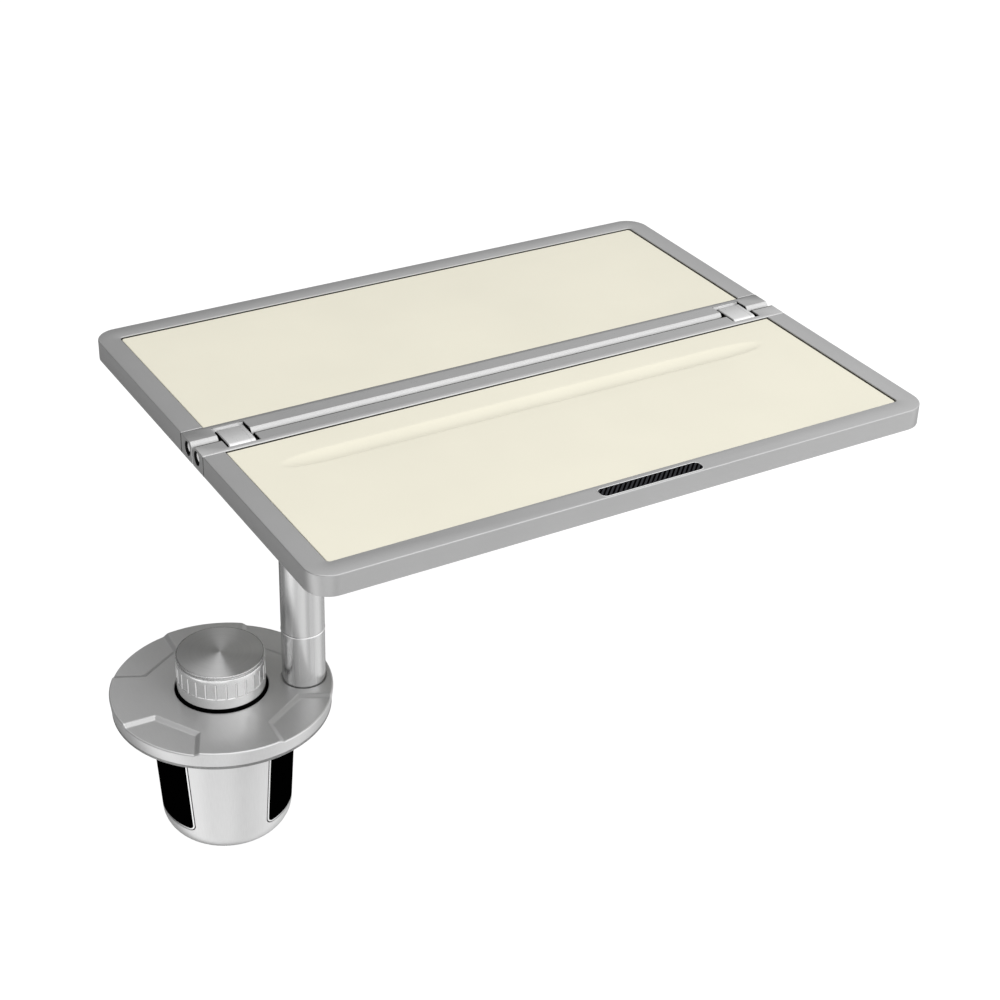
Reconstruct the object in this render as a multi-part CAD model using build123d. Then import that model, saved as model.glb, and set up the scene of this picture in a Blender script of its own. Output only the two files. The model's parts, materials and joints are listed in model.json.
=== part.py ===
from build123d import *
import os
from math import cos, sin, sqrt, radians

os.makedirs("parts", exist_ok=True)

# All sizes are in millimetres.
# The middle of the cup's flat bottom is the origin. Z points up, X runs along
# the hinge line of the tray and Y points to the far leaf.

# Cup that sits in a cup holder
cup_height = 73.4
cup_mouth_radius = 36.8
cup_foot_radius = 32.6
cup_foot_round = 12.5
cup_wall = 3.0
cup_floor = 3.0
cup_ledge = 0.8

# Plates that guide the gripping shoes inside the cup
guide_plate_thickness = 7.0
floor_guide_radius = 19.5
floor_guide_thickness = 6.0
slot_depth = 3.5
plate_fit = 0.05

# Disc on the cup, with four sunk facets
disc_radius = 56.0
disc_foot_radius = 55.0
disc_thickness = 9.8
disc_edge_round = 1.3
disc_foot_round = 0.7
facet_count = 4
facet_depth = 1.3
facet_slope = 2.6
facet_lift = 1.0
overrun = 5.0
facet_inner_radius = 39.2
facet_inner_half_angle = 20.3
facet_outer_half_angle = 25.2
facet_turn = 2.5
knob_pocket_radius = 24.4
knob_pocket_depth = 5.0

# Knob
knob_radius = 22.2
knob_height = 20.8
knob_floor_gap = 0.6
cap_thickness = 1.6
cap_inset = 0.2
cap_groove_height = 0.8
cap_groove_depth = 0.8
cap_plug_radius = 18.0
cap_plug_depth = 3.0
cap_edge = 0.45
flute_count = 27
flute_depth = 0.5
flute_rib = 0.9
flute_top_drop = 5.1
flute_length = 8.6
knob_web_drop = 12.0
knob_web_thickness = 4.0
nut_chamber_radius = 14.0
skirt_chamber_radius = 16.0

# Spindle, its bush and its fasteners
spindle_radius = 5.0
spindle_foot_radius = 4.0
spindle_foot_length = 6.0
spindle_shoulder_radius = 7.5
spindle_groove_depth = 0.6
running_fit = 0.05
bush_radius = 8.0
bush_flange_radius = 11.0
bush_flange_thickness = 1.5
nut_across_flats = 16.0
nut_height = 5.0
clip_thickness = 1.2
clip_radius = 8.6
disc_screw_circle = 17.4
disc_screw_radius = 2.0
disc_screw_head = 3.8

# Expanding grip
cone_length = 24.0
cone_small_radius = 8.0
cone_travel = 12.0
shoe_travel = 7.0
cone_clearance = 0.3
shoe_count = 3
shoe_turn = 87.0
window_width = 31.4
window_low = 13.5
window_below_mouth = 11.4
window_corner = 4.0
window_gap = 0.6
shoe_rim = 0.7
pad_thickness = 2.5
shoe_block_back = 21.5
shoe_rib_width = 8.0
shoe_rib_back = 7.0
tongue_fit = 0.1
foot_tongue_length = 10.0

# Post and swivel
post_radius = 11.0
post_offset = 41.7
post_angle = -16.5
post_seam_height = 29.8
post_seam_round = 0.35
post_socket_depth = 6.5
post_foot_gap = 0.7
post_foot_gap_depth = 1.2
post_tube_wall = 1.5
spigot_radius = 7.5
spigot_rise = 37.0
spigot_bed = 8.0
washer_thickness = 0.5
swivel_bush_length = 32.0
post_screw_radius = 3.0
post_screw_head = 5.6

# Tray
tray_width = 360.6
leaf_depth = 140.5
leaf_thickness = 11.6
tray_rise = 105.3
post_from_left = 25.6
post_from_front = 69.7
border = 12.0
outer_corner = 13.0
inner_corner = 2.0
edge_chamfer = 0.7
under_chamfer = 0.4
inner_chamfer = 0.4
ledge = 4.0
panel_recess = 0.8
panel_thickness = 3.0
panel_edge = 0.3
panel_fit = 0.1
back_thickness = 1.5

# Pen groove in the near panel
groove_length = 292.0
groove_width = 13.0
groove_depth = 1.6
groove_taper = 30.0
groove_from_hinge = 38.3

# Black inlay on the front border
strip_length = 60.0
strip_width = 7.2
strip_thickness = 1.1
strip_proud = 0.1
strip_from_left = 185.6
strip_from_front = 5.2

# Double hinge
rail_depth = 13.8
fold_gap = 0.6
pivot_inset = 5.5
pivot_drop = 4.7
pin_radius = 2.5
pin_length = 36.0
end_bore_radius = 3.3
end_bore_depth = 8.0
link_radius = 4.5
link_width = 15.0
link_edge = 0.3
hinge_from_end = 24.0
pocket_width = 18.2
pocket_end_gap = 0.5
pocket_floor_gap = 0.4

# Bracket between post and near leaf
bracket_left = 19.0
bracket_right = 36.0
bracket_half_depth = 30.0
bracket_corner = 8.0
bracket_plate = 3.0
boss_radius = 15.0
boss_height = 12.0
bracket_screw_left = 6.0
bracket_screw_right = 28.0
bracket_screw_spread = 22.0
bracket_screw_radius = 2.0
bracket_screw_head = 3.8
nut_plate_thickness = 4.0
nut_plate_rim = 4.0
clamp_screw_radius = 2.5
clamp_screw_rise = 5.0

# Levels and places that follow from the sizes
window_high = cup_height - window_below_mouth
disc_low = cup_height
disc_top = disc_low + disc_thickness
pocket_floor = disc_top - knob_pocket_depth
plate_low = disc_low - guide_plate_thickness
knob_top = disc_top + knob_height
knob_low = pocket_floor + knob_floor_gap
ring_top = knob_top - cap_thickness - cap_groove_height
web_top = knob_top - knob_web_drop
web_low = web_top - knob_web_thickness
clip_low = plate_low - clip_thickness
cone_high = clip_low - cone_clearance
cone_low = cone_high - cone_length
cone_slope = shoe_travel / cone_travel
guide_top = cup_floor + floor_guide_thickness
seam_level = disc_top + post_seam_height
tube_low = seam_level + washer_thickness
tray_top = disc_top + tray_rise
tray_low = tray_top - leaf_thickness
post_x = post_offset * cos(radians(post_angle))
post_y = post_offset * sin(radians(post_angle))
tray_x = post_x - post_from_left + tray_width / 2
hinge_y = post_y - post_from_front + leaf_depth
shoe_angles = [post_angle + shoe_turn + 360 / shoe_count * i for i in range(shoe_count)]
screw_angles = [angle + 180 / shoe_count for angle in shoe_angles]


def cup_radius(height):
    """Outer radius of the tapered cup wall at a height."""
    return cup_foot_radius + (cup_mouth_radius - cup_foot_radius) * height / cup_height


def turned(points, rounds=()):
    """Solid turned about Z from (radius, height) points, with rounded corners by index."""
    face = make_face(Polyline(*points, close=True))
    for index, radius in rounds:
        x, y = points[index]
        corner = [v for v in face.vertices() if abs(v.X - x) < 1e-6 and abs(v.Y - y) < 1e-6]
        face = fillet(corner, radius)
    return revolve(Plane.XZ * face, Axis.Z, 360)


def rod(radius, low, high):
    """Upright cylinder between two levels."""
    return Pos(0, 0, low) * extrude(Circle(radius), high - low)


def radial_bar(width, low, high, near, far, corner=0.0):
    """Straight bar that points outwards along X, its long edges rounded by corner."""
    section = Rectangle(width, high - low)
    if corner > 0:
        section = RectangleRounded(width, high - low, corner)
    return extrude(Plane.YZ.offset(near) * Pos(0, (low + high) / 2) * section, far - near)


def box_between(x0, x1, y0, y1, z0, z1):
    """Box between two corners."""
    middle = Pos((x0 + x1) / 2, (y0 + y1) / 2, (z0 + z1) / 2)
    return middle * Box(x1 - x0, y1 - y0, z1 - z0)


def countersunk(radius, head, length):
    """Countersunk screw with a hex recess, head up at Z zero, shank down to the length."""
    neck = head - radius
    body = turned([(0, 0), (head, 0), (radius, -neck), (radius, -length), (0, -length)])
    return body - extrude(RegularPolygon(radius * 0.75, 6), -neck)


def on_post(shape):
    """Moves a shape made about Z to the axis of the post."""
    return Pos(post_x, post_y, 0) * shape


# Cup shell: one wall, three windows, a seat for the guide plate at the mouth
seat_radius = cup_radius(plate_low) - cup_wall + cup_ledge
inner_foot_radius = cup_foot_radius - cup_wall
cup_profile = [
    (0, 0),
    (cup_foot_radius, 0),
    (cup_mouth_radius, cup_height),
    (seat_radius, cup_height),
    (seat_radius, plate_low),
    (cup_radius(plate_low) - cup_wall, plate_low),
    (inner_foot_radius, cup_floor),
    (0, cup_floor),
]
cup_shell = turned(cup_profile, [(1, cup_foot_round), (6, cup_foot_round - cup_wall)])
window = radial_bar(
    window_width, window_low, window_high, shoe_block_back, cup_mouth_radius + overrun, window_corner
)
for angle in shoe_angles:
    cup_shell -= Rot(0, 0, angle) * window

# Guide plate in the mouth of the cup, with a slot over each shoe
cone_large_radius = cone_small_radius + cone_slope * cone_length
tongue_back = cone_large_radius + 2 * cone_clearance
slot_width = shoe_rib_width + 2 * tongue_fit
guide_plate = rod(seat_radius - plate_fit, plate_low, disc_low) - rod(bush_radius, plate_low, disc_low)
plate_slot = radial_bar(
    slot_width, plate_low - 1, plate_low + slot_depth, tongue_back - cone_clearance, seat_radius + 1
)
for angle in shoe_angles:
    guide_plate -= Rot(0, 0, angle) * plate_slot

# Floor guide with the foot bearing of the spindle
foot_tongue_back = shoe_rib_back + 1.0
floor_guide = rod(floor_guide_radius, cup_floor, guide_top)
floor_guide -= rod(spindle_foot_radius + running_fit, cup_floor + 1.5, guide_top)
floor_slot = radial_bar(
    slot_width, guide_top - slot_depth, guide_top + 1, foot_tongue_back - 0.5, floor_guide_radius + 1
)
for angle in shoe_angles:
    floor_guide -= Rot(0, 0, angle) * floor_slot


def facet_outline(inset):
    """Outline of one sunk facet, drawn in on its three inner sides by inset."""
    slant = radians(facet_inner_half_angle)
    x_in = facet_inner_radius * cos(slant)
    y_in = facet_inner_radius * sin(slant)
    reach = disc_radius + overrun
    x_out = reach * cos(radians(facet_outer_half_angle))
    y_out = reach * sin(radians(facet_outer_half_angle))
    rise = (y_out - y_in) / (x_out - x_in)
    side = inset * sqrt(1 + rise * rise)
    x_in_moved = x_in + inset
    y_in_moved = y_in + rise * inset - side
    y_out_moved = y_out - side
    corners = [
        (x_in_moved, y_in_moved),
        (x_out, y_out_moved),
        (x_out, -y_out_moved),
        (x_in_moved, -y_in_moved),
    ]
    return make_face(Polyline(*corners, close=True))


# Disc: knob pocket, bush bore, post socket, screw holes and facets
disc_profile = [
    (bush_radius, disc_low),
    (disc_foot_radius, disc_low),
    (disc_radius, disc_top),
    (knob_pocket_radius, disc_top),
    (knob_pocket_radius, pocket_floor),
    (bush_radius, pocket_floor),
]
flange_disc = turned(disc_profile, [(1, disc_foot_round), (2, disc_edge_round), (3, disc_edge_round / 3)])
facet_low = Pos(0, 0, disc_top - facet_depth) * facet_outline(facet_slope)
facet_high = Pos(0, 0, disc_top + facet_lift) * facet_outline(-facet_slope * facet_lift / facet_depth)
facet = loft([facet_low, facet_high])
for i in range(facet_count):
    flange_disc -= Rot(0, 0, post_angle + facet_turn + 360 / facet_count * (i + 0.5)) * facet
socket_low = disc_top - post_socket_depth
flange_disc -= on_post(rod(post_radius, socket_low, disc_top + 1))
flange_disc -= on_post(rod(post_radius + post_foot_gap, disc_top - post_foot_gap_depth, disc_top + 1))
post_screw_neck = post_screw_head - post_screw_radius
post_screw_hole = turned(
    [
        (0, disc_low - 1),
        (post_screw_head + 1, disc_low - 1),
        (post_screw_radius, disc_low + post_screw_neck),
        (post_screw_radius, socket_low + 1),
        (0, socket_low + 1),
    ]
)
flange_disc -= on_post(post_screw_hole)
disc_screw_neck = disc_screw_head - disc_screw_radius
disc_screw_length = pocket_floor - disc_low + guide_plate_thickness - 2
for angle in screw_angles:
    spot = Rot(0, 0, angle) * Pos(disc_screw_circle, 0, 0)
    sink = turned(
        [
            (0, pocket_floor + 1),
            (disc_screw_head + 1, pocket_floor + 1),
            (disc_screw_radius, pocket_floor - disc_screw_neck),
            (disc_screw_radius, pocket_floor - disc_screw_length),
            (0, pocket_floor - disc_screw_length),
        ]
    )
    flange_disc -= spot * sink
    guide_plate -= spot * sink
disc_screw = Pos(disc_screw_circle, 0, pocket_floor) * countersunk(
    disc_screw_radius, disc_screw_head, disc_screw_length
)
flange_screws = Compound(children=[Rot(0, 0, angle) * disc_screw for angle in screw_angles])

# Flanged bush of the spindle
bush_top = pocket_floor + bush_flange_thickness
bush_profile = [
    (spindle_radius + running_fit, plate_low),
    (bush_radius, plate_low),
    (bush_radius, pocket_floor),
    (bush_flange_radius, pocket_floor),
    (bush_flange_radius, bush_top),
    (spindle_radius + running_fit, bush_top),
]
spindle_bush = turned(bush_profile)

# Spindle: foot journal, threaded length, clip groove, shoulder and head
spindle_foot = cup_floor + 1.5
spindle_head = web_top + nut_height + 0.5
groove_radius = spindle_radius - spindle_groove_depth
spindle_profile = [
    (0, spindle_foot),
    (spindle_foot_radius, spindle_foot),
    (spindle_foot_radius, spindle_foot + spindle_foot_length),
    (spindle_radius, spindle_foot + spindle_foot_length),
    (spindle_radius, clip_low),
    (groove_radius, clip_low),
    (groove_radius, plate_low),
    (spindle_radius, plate_low),
    (spindle_radius, bush_top),
    (spindle_shoulder_radius, bush_top),
    (spindle_shoulder_radius, web_low),
    (spindle_radius, web_low),
    (spindle_radius, spindle_head),
    (0, spindle_head),
]
spindle = turned(spindle_profile)
clip_gap = box_between(0, clip_radius + 1, -2.5, 2.5, clip_low - 1, plate_low + 1)
spindle_clip = rod(clip_radius, clip_low, plate_low) - rod(groove_radius, clip_low, plate_low) - clip_gap
spindle_nut = Pos(0, 0, web_top) * extrude(RegularPolygon(nut_across_flats / 2, 6, major_radius=False), nut_height)
spindle_nut -= rod(spindle_radius, web_top, web_top + nut_height)

# Knob body: fluted ring with a web that the nut clamps
body_profile = [
    (spindle_radius, web_low),
    (skirt_chamber_radius, web_low),
    (skirt_chamber_radius, knob_low),
    (knob_radius, knob_low),
    (knob_radius, ring_top),
    (cap_plug_radius, ring_top),
    (cap_plug_radius, ring_top - cap_plug_depth),
    (nut_chamber_radius, ring_top - cap_plug_depth),
    (nut_chamber_radius, web_top),
    (spindle_radius, web_top),
]
knob_body = turned(body_profile, [(3, 0.5), (4, 0.5)])
flute_high = knob_top - flute_top_drop
flute_width = knob_radius * radians(360 / flute_count) - flute_rib
flute = radial_bar(
    flute_width, flute_high - flute_length, flute_high, knob_radius - flute_depth, knob_radius + 2
)
flutes = [Rot(0, 0, 360 / flute_count * (i + 0.5)) * flute for i in range(flute_count)]
knob_body = knob_body - flutes

# Turned cap with its plug in the knob body
cap_radius = knob_radius - cap_inset
cap_profile = [
    (0, ring_top - cap_plug_depth),
    (cap_plug_radius, ring_top - cap_plug_depth),
    (cap_plug_radius, ring_top),
    (cap_radius - cap_groove_depth, ring_top),
    (cap_radius - cap_groove_depth, ring_top + cap_groove_height),
    (cap_radius, ring_top + cap_groove_height),
    (cap_radius, knob_top),
    (0, knob_top),
]
knob_cap = turned(cap_profile, [(6, cap_edge)])

# Cone nut on the spindle
cone_profile = [
    (spindle_radius + running_fit, cone_low),
    (cone_small_radius, cone_low),
    (cone_large_radius, cone_high),
    (spindle_radius + running_fit, cone_high),
]
expander_cone = turned(cone_profile)

# Gripping shoes: a carrier that slides in both guides and a rubber pad set in its face
shoe_low = window_low + window_gap
shoe_high = window_high - window_gap
shoe_width = window_width - 2 * window_gap
shoe_corner = window_corner - window_gap
rib_high = shoe_high
rib_low = guide_top + 0.5
rib_slope_low = cone_low + (shoe_rib_back - cone_clearance - cone_small_radius) / cone_slope
rib_slope_top = cone_small_radius + cone_slope * (rib_high - cone_low) + cone_clearance
foot_tongue_end = foot_tongue_back + foot_tongue_length
rib_step = shoe_low + shoe_corner
rib_points = [
    (shoe_rib_back, rib_low),
    (foot_tongue_end, rib_low),
    (foot_tongue_end, rib_step),
    (shoe_block_back + 1, rib_step),
    (shoe_block_back + 1, rib_high),
    (rib_slope_top, rib_high),
    (shoe_rib_back, rib_slope_low),
]
rib = extrude(Plane.XZ * make_face(Polyline(*rib_points, close=True)), shoe_rib_width / 2, both=True)
block = radial_bar(shoe_width, shoe_low, shoe_high, shoe_block_back, cup_mouth_radius + overrun, shoe_corner)
tongue_end = cup_radius(window_high) - cup_wall - shoe_travel - 2 * cone_clearance
head_tongue = radial_bar(
    shoe_rib_width, shoe_high - 2, plate_low + slot_depth - 2 * tongue_fit, tongue_back, tongue_end
)
foot_tongue = radial_bar(
    shoe_rib_width,
    guide_top - slot_depth + 2 * tongue_fit,
    rib_low + 1,
    foot_tongue_back,
    foot_tongue_end,
)
skin_outer = turned([(0, 0), (cup_foot_radius, 0), (cup_mouth_radius, cup_height), (0, cup_height)])
skin_inner = turned(
    [
        (0, 0),
        (cup_foot_radius - pad_thickness, 0),
        (cup_mouth_radius - pad_thickness, cup_height),
        (0, cup_height),
    ]
)
pad_space = radial_bar(
    shoe_width - 2 * shoe_rim,
    shoe_low + shoe_rim,
    shoe_high - shoe_rim,
    shoe_block_back,
    cup_mouth_radius + overrun,
    shoe_corner - shoe_rim,
)
pad = (pad_space & skin_outer) - skin_inner
carrier = (block & skin_outer) - (pad_space - skin_inner)
carrier = carrier + rib + head_tongue + foot_tongue

# Lower post, its screw, the spigot and the swivel fittings
stub_profile = [
    (0, socket_low),
    (post_radius, socket_low),
    (post_radius, seam_level),
    (spigot_radius, seam_level),
    (spigot_radius, socket_low + spigot_bed),
    (0, socket_low + spigot_bed),
]
post_stub = turned(stub_profile, [(2, post_seam_round)])
screw_reach = socket_low + spigot_bed - 1.5
post_stub -= rod(post_screw_radius, socket_low, screw_reach)
post_stub = on_post(post_stub)
post_screw = Rot(180, 0, 0) * countersunk(post_screw_radius, post_screw_head, screw_reach - disc_low)
post_screw = on_post(Pos(0, 0, disc_low) * post_screw)
spigot_top = seam_level + spigot_rise
clip_seat = tube_low + swivel_bush_length + 0.4
spigot_groove = spigot_radius - 0.9
spigot_profile = [
    (0, socket_low + spigot_bed),
    (spigot_radius, socket_low + spigot_bed),
    (spigot_radius, clip_seat),
    (spigot_groove, clip_seat),
    (spigot_groove, clip_seat + clip_thickness),
    (spigot_radius, clip_seat + clip_thickness),
    (spigot_radius, spigot_top),
    (0, spigot_top),
]
swivel_spigot = on_post(turned(spigot_profile, [(6, 1.0)]))
tube_bore = post_radius - post_tube_wall
spigot_clip = rod(tube_bore - 0.5, clip_seat, clip_seat + clip_thickness)
spigot_clip -= rod(spigot_groove, clip_seat, clip_seat + clip_thickness)
spigot_clip -= box_between(0, post_radius, -2.5, 2.5, clip_seat - 1, clip_seat + clip_thickness + 1)
spigot_clip = on_post(spigot_clip)
swivel_washer = rod(post_radius - 2 * post_seam_round, seam_level, tube_low)
swivel_washer = on_post(swivel_washer - rod(spigot_radius + plate_fit, seam_level, tube_low))

# Upper post and the bush that turns on the spigot
bracket_low = tray_low - bracket_plate
tube_high = tray_low - bracket_plate / 2
tube_profile = [
    (tube_bore, tube_low),
    (post_radius, tube_low),
    (post_radius, tube_high),
    (tube_bore, tube_high),
]
post_tube = on_post(turned(tube_profile, [(1, post_seam_round)]))
swivel_bush = rod(tube_bore, tube_low, tube_low + swivel_bush_length)
swivel_bush -= rod(spigot_radius + running_fit, tube_low, tube_low + swivel_bush_length)
swivel_bush = on_post(swivel_bush)

# Bracket under the near leaf
bracket_width = bracket_left + bracket_right
bracket_middle = (bracket_right - bracket_left) / 2
bracket_plan = RectangleRounded(bracket_width, 2 * bracket_half_depth, bracket_corner)
table_bracket = Pos(bracket_middle, 0, bracket_low) * extrude(bracket_plan, bracket_plate)
boss_low = bracket_low - boss_height
table_bracket += rod(boss_radius, boss_low, bracket_low)
boss_root = table_bracket.edges().filter_by(GeomType.CIRCLE).filter_by(
    lambda edge: abs(edge.radius - boss_radius) < 1e-6 and abs(edge.center().Z - bracket_low) < 1e-6
)
table_bracket = fillet(boss_root, 1.5)
boss_edge = table_bracket.edges().filter_by(GeomType.CIRCLE).group_by(Axis.Z)[0]
table_bracket = chamfer(boss_edge, 0.8)
table_bracket -= rod(post_radius, boss_low - 1, tube_high)
bracket_spots = [
    (x, y)
    for x in (-bracket_screw_left, bracket_screw_right)
    for y in (-bracket_screw_spread, bracket_screw_spread)
]
bracket_neck = bracket_screw_head - bracket_screw_radius
bracket_screw_length = bracket_plate + back_thickness + nut_plate_thickness - 0.5
bracket_screw = Rot(180, 0, 0) * countersunk(bracket_screw_radius, bracket_screw_head, bracket_screw_length)
bracket_sink = turned(
    [
        (0, -1),
        (bracket_screw_head + 1, -1),
        (bracket_screw_radius, bracket_neck),
        (bracket_screw_radius, bracket_screw_length),
        (0, bracket_screw_length),
    ]
)
bracket_holes = [Pos(x, y, bracket_low) * bracket_sink for x, y in bracket_spots]
table_bracket = table_bracket - bracket_holes
clamp_level = boss_low + clamp_screw_rise
clamp_bar = Pos(0, 0, clamp_level) * Rot(90, 0, 0) * extrude(Circle(clamp_screw_radius), boss_radius)
clamp_bar -= rod(post_radius, boss_low, bracket_low)
table_bracket -= clamp_bar
clamp_recess = Pos(0, -boss_radius, clamp_level) * Rot(-90, 0, 0) * extrude(RegularPolygon(1.4, 6), 2.0)
clamp_outer = rod(boss_radius - 0.3, boss_low, bracket_low)
bracket_clamp_screw = on_post((clamp_bar & clamp_outer) - clamp_recess)
table_bracket = on_post(table_bracket)
bracket_screws = Compound(children=[on_post(Pos(x, y, bracket_low) * bracket_screw) for x, y in bracket_spots])
nut_plate_low = tray_low + back_thickness
nut_plate = box_between(
    -bracket_screw_left - nut_plate_rim + 1.0,
    bracket_screw_right + nut_plate_rim,
    -bracket_screw_spread - nut_plate_rim,
    bracket_screw_spread + nut_plate_rim,
    nut_plate_low,
    nut_plate_low + nut_plate_thickness,
)
nut_plate = on_post(nut_plate - bracket_holes)

# Leaf pieces are drawn for the far leaf: Y out from the hinge line, Z zero at the top
seat_drop = panel_recess + panel_thickness
back_level = -leaf_thickness + back_thickness
half_width = tray_width / 2
open_half = half_width - border
open_far = leaf_depth - border
core_half = open_half - ledge
core_far = open_far - ledge
pivot_y = fold_gap / 2 + pivot_inset


def plan_area(half, near, far, corner):
    """Plan of a leaf layer, its two outer corners rounded."""
    face = Pos(0, (near + far) / 2) * Rectangle(2 * half, far - near)
    return fillet(face.vertices().group_by(Axis.Y)[-1], corner)


def slab(face, low, high):
    """Plan area as a layer between two levels."""
    return Pos(0, 0, low) * extrude(face, high - low)


def leaf_frame():
    """Three-sided frame with a seat for the panel above and for the back plate below."""
    body = slab(plan_area(half_width, rail_depth, leaf_depth, outer_corner), -leaf_thickness, 0)
    for level, size in ((-1, edge_chamfer), (0, under_chamfer)):
        rims = body.edges().group_by(Axis.Z)[level]
        body = chamfer([edge for edge in rims if edge.center().Y > rail_depth + 1], size)
    opening = plan_area(open_half, rail_depth - overrun, open_far, inner_corner)
    core = plan_area(core_half, rail_depth - overrun, core_far, inner_corner)
    body -= slab(core, -leaf_thickness - 1, 1)
    body -= slab(opening, -seat_drop, 1)
    body -= slab(opening, -leaf_thickness - 1, back_level)
    lips = [
        edge
        for edge in body.edges().group_by(Axis.Z)[-1]
        if abs(edge.center().X) < open_half + 0.01 and rail_depth + 0.01 < edge.center().Y < open_far + 0.01
    ]
    return chamfer(lips, inner_chamfer)


def hinge_rail():
    """Extruded rail with a rounded folding edge, link pockets and pin bores."""
    flat_end = pivot_y - sqrt(pivot_inset**2 - pivot_drop**2)
    diagonal = pivot_inset * sqrt(0.5)
    edge_arc = ThreePointArc(
        (fold_gap / 2, -pivot_drop),
        (pivot_y - diagonal, diagonal - pivot_drop)
        if diagonal < pivot_drop
        else (pivot_y - sqrt(pivot_inset**2 - (pivot_drop / 2) ** 2), -pivot_drop / 2),
        (flat_end, 0),
    )
    rest = Polyline(
        (flat_end, 0),
        (rail_depth - inner_chamfer, 0),
        (rail_depth, -inner_chamfer),
        (rail_depth, -leaf_thickness),
        (fold_gap / 2 + inner_chamfer, -leaf_thickness),
        (fold_gap / 2, inner_chamfer - leaf_thickness),
        (fold_gap / 2, -pivot_drop),
    )
    section = Plane.YZ * make_face(Curve() + [edge_arc, rest])
    body = extrude(section, half_width, both=True)
    body += box_between(-core_half, core_half, rail_depth, rail_depth + ledge, back_level, -seat_drop)
    pocket_low = -pivot_drop - link_radius - pocket_floor_gap
    pocket_far = pivot_y + link_radius + pocket_end_gap
    pin_outer = half_width - end_bore_depth
    for side in (-1, 1):
        middle = side * (half_width - hinge_from_end)
        left = middle - pocket_width / 2
        body -= box_between(left, left + pocket_width, -1, pocket_far, pocket_low, 1)
        bore = Plane.YZ * Pos(pivot_y, -pivot_drop) * Circle(pin_radius)
        body -= Pos(side * (pin_outer - pin_length / 2), 0, 0) * extrude(bore, pin_length / 2, both=True)
        mouth = Plane.YZ * Pos(pivot_y, -pivot_drop) * Circle(end_bore_radius)
        body -= Pos(side * half_width, 0, 0) * extrude(mouth, end_bore_depth, both=True)
    return body


def hinge_pins():
    """The two pins of one rail."""
    pin_outer = half_width - end_bore_depth
    section = Plane.YZ * Pos(pivot_y, -pivot_drop) * Circle(pin_radius)
    pin = extrude(section, pin_length / 2, both=True)
    pin = chamfer(pin.edges().filter_by(GeomType.CIRCLE), 0.4)
    return [Pos(side * (pin_outer - pin_length / 2), 0, 0) * pin for side in (-1, 1)]


def leaf_panel():
    """Inset panel with softened top edges."""
    plan = plan_area(
        open_half - panel_fit, rail_depth + panel_fit, open_far - panel_fit, inner_corner - panel_fit
    )
    body = slab(plan, -seat_drop, -panel_recess)
    return fillet(body.edges().group_by(Axis.Z)[-1], panel_edge)


def back_plate():
    """Flat plate that closes the underside of a leaf."""
    plan = plan_area(
        open_half - panel_fit, rail_depth + panel_fit, open_far - panel_fit, inner_corner - panel_fit
    )
    return slab(plan, -leaf_thickness, back_level)


def hinge_link(side):
    """Link between the two pin lines."""
    section = Plane.YZ * Pos(0, -pivot_drop) * Rot(0, 0, 0) * SlotCenterToCenter(2 * pivot_y, 2 * link_radius)
    body = extrude(section, link_width / 2, both=True)
    ends = body.edges().group_by(Axis.X)[0] + body.edges().group_by(Axis.X)[-1]
    body = chamfer(ends, link_edge)
    for y in (-pivot_y, pivot_y):
        hole = Plane.YZ * Pos(y, -pivot_drop) * Circle(pin_radius + running_fit)
        body -= extrude(hole, link_width, both=True)
    return Pos(side * (half_width - hinge_from_end), 0, 0) * body


def on_tray(shape):
    """Places a leaf piece at the hinge line of the unfolded tray."""
    return Pos(tray_x, hinge_y, tray_top) * shape


def near_side(shape):
    """Turns a far-leaf piece into its near-leaf twin."""
    return mirror(shape, about=Plane.XZ)


# Far leaf
far_frame = on_tray(leaf_frame())
far_rail = on_tray(hinge_rail())
far_panel = on_tray(leaf_panel())
far_back_plate = on_tray(back_plate())
far_hinge_pins = Compound(children=[on_tray(pin) for pin in hinge_pins()])

# Pen groove: a long torpedo sunk into the panel, turned about a line above it
groove_axis = (groove_width**2 / 4 - groove_depth**2) / (2 * groove_depth)
groove_radius_mid = groove_axis + groove_depth
groove_half = groove_length / 2
taper_start = Spline(
    (-groove_half, groove_axis - 0.2),
    (groove_taper - groove_half, groove_radius_mid),
    tangents=[(1, 0.16), (1, 0)],
)
taper_end = Spline(
    (groove_half - groove_taper, groove_radius_mid),
    (groove_half, groove_axis - 0.2),
    tangents=[(1, 0), (1, -0.16)],
)
groove_bottom = Line((groove_taper - groove_half, groove_radius_mid), (groove_half - groove_taper, groove_radius_mid))
groove_rest = Polyline(
    (groove_half, groove_axis - 0.2),
    (groove_half, 0),
    (-groove_half, 0),
    (-groove_half, groove_axis - 0.2),
)
groove_face = make_face(Curve() + [taper_start, groove_bottom, taper_end, groove_rest])
groove_tool = revolve(groove_face, Axis.X, 360)
groove_tool = Pos(-2.0, -groove_from_hinge, groove_axis - panel_recess) * groove_tool

# Inlay in the front border
strip_x = strip_from_left - half_width
strip_y = strip_from_front - leaf_depth
strip_plan = SlotOverall(strip_length, strip_width)
strip_low = strip_proud - strip_thickness
strip_room = Pos(strip_x, strip_y, strip_low) * extrude(strip_plan, strip_thickness + 1)
strip_body = Pos(strip_x, strip_y, strip_low) * extrude(strip_plan, strip_thickness)

# Near leaf
near_frame = on_tray(near_side(leaf_frame()) - strip_room)
near_rail = on_tray(near_side(hinge_rail()))
near_panel = on_tray(near_side(leaf_panel()) - groove_tool)
bracket_places = [on_post(hole) for hole in bracket_holes]
near_back_plate = on_tray(near_side(back_plate())) - bracket_places
near_hinge_pins = Compound(children=[on_tray(near_side(pin)) for pin in hinge_pins()])
grip_strip = on_tray(strip_body)

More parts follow.
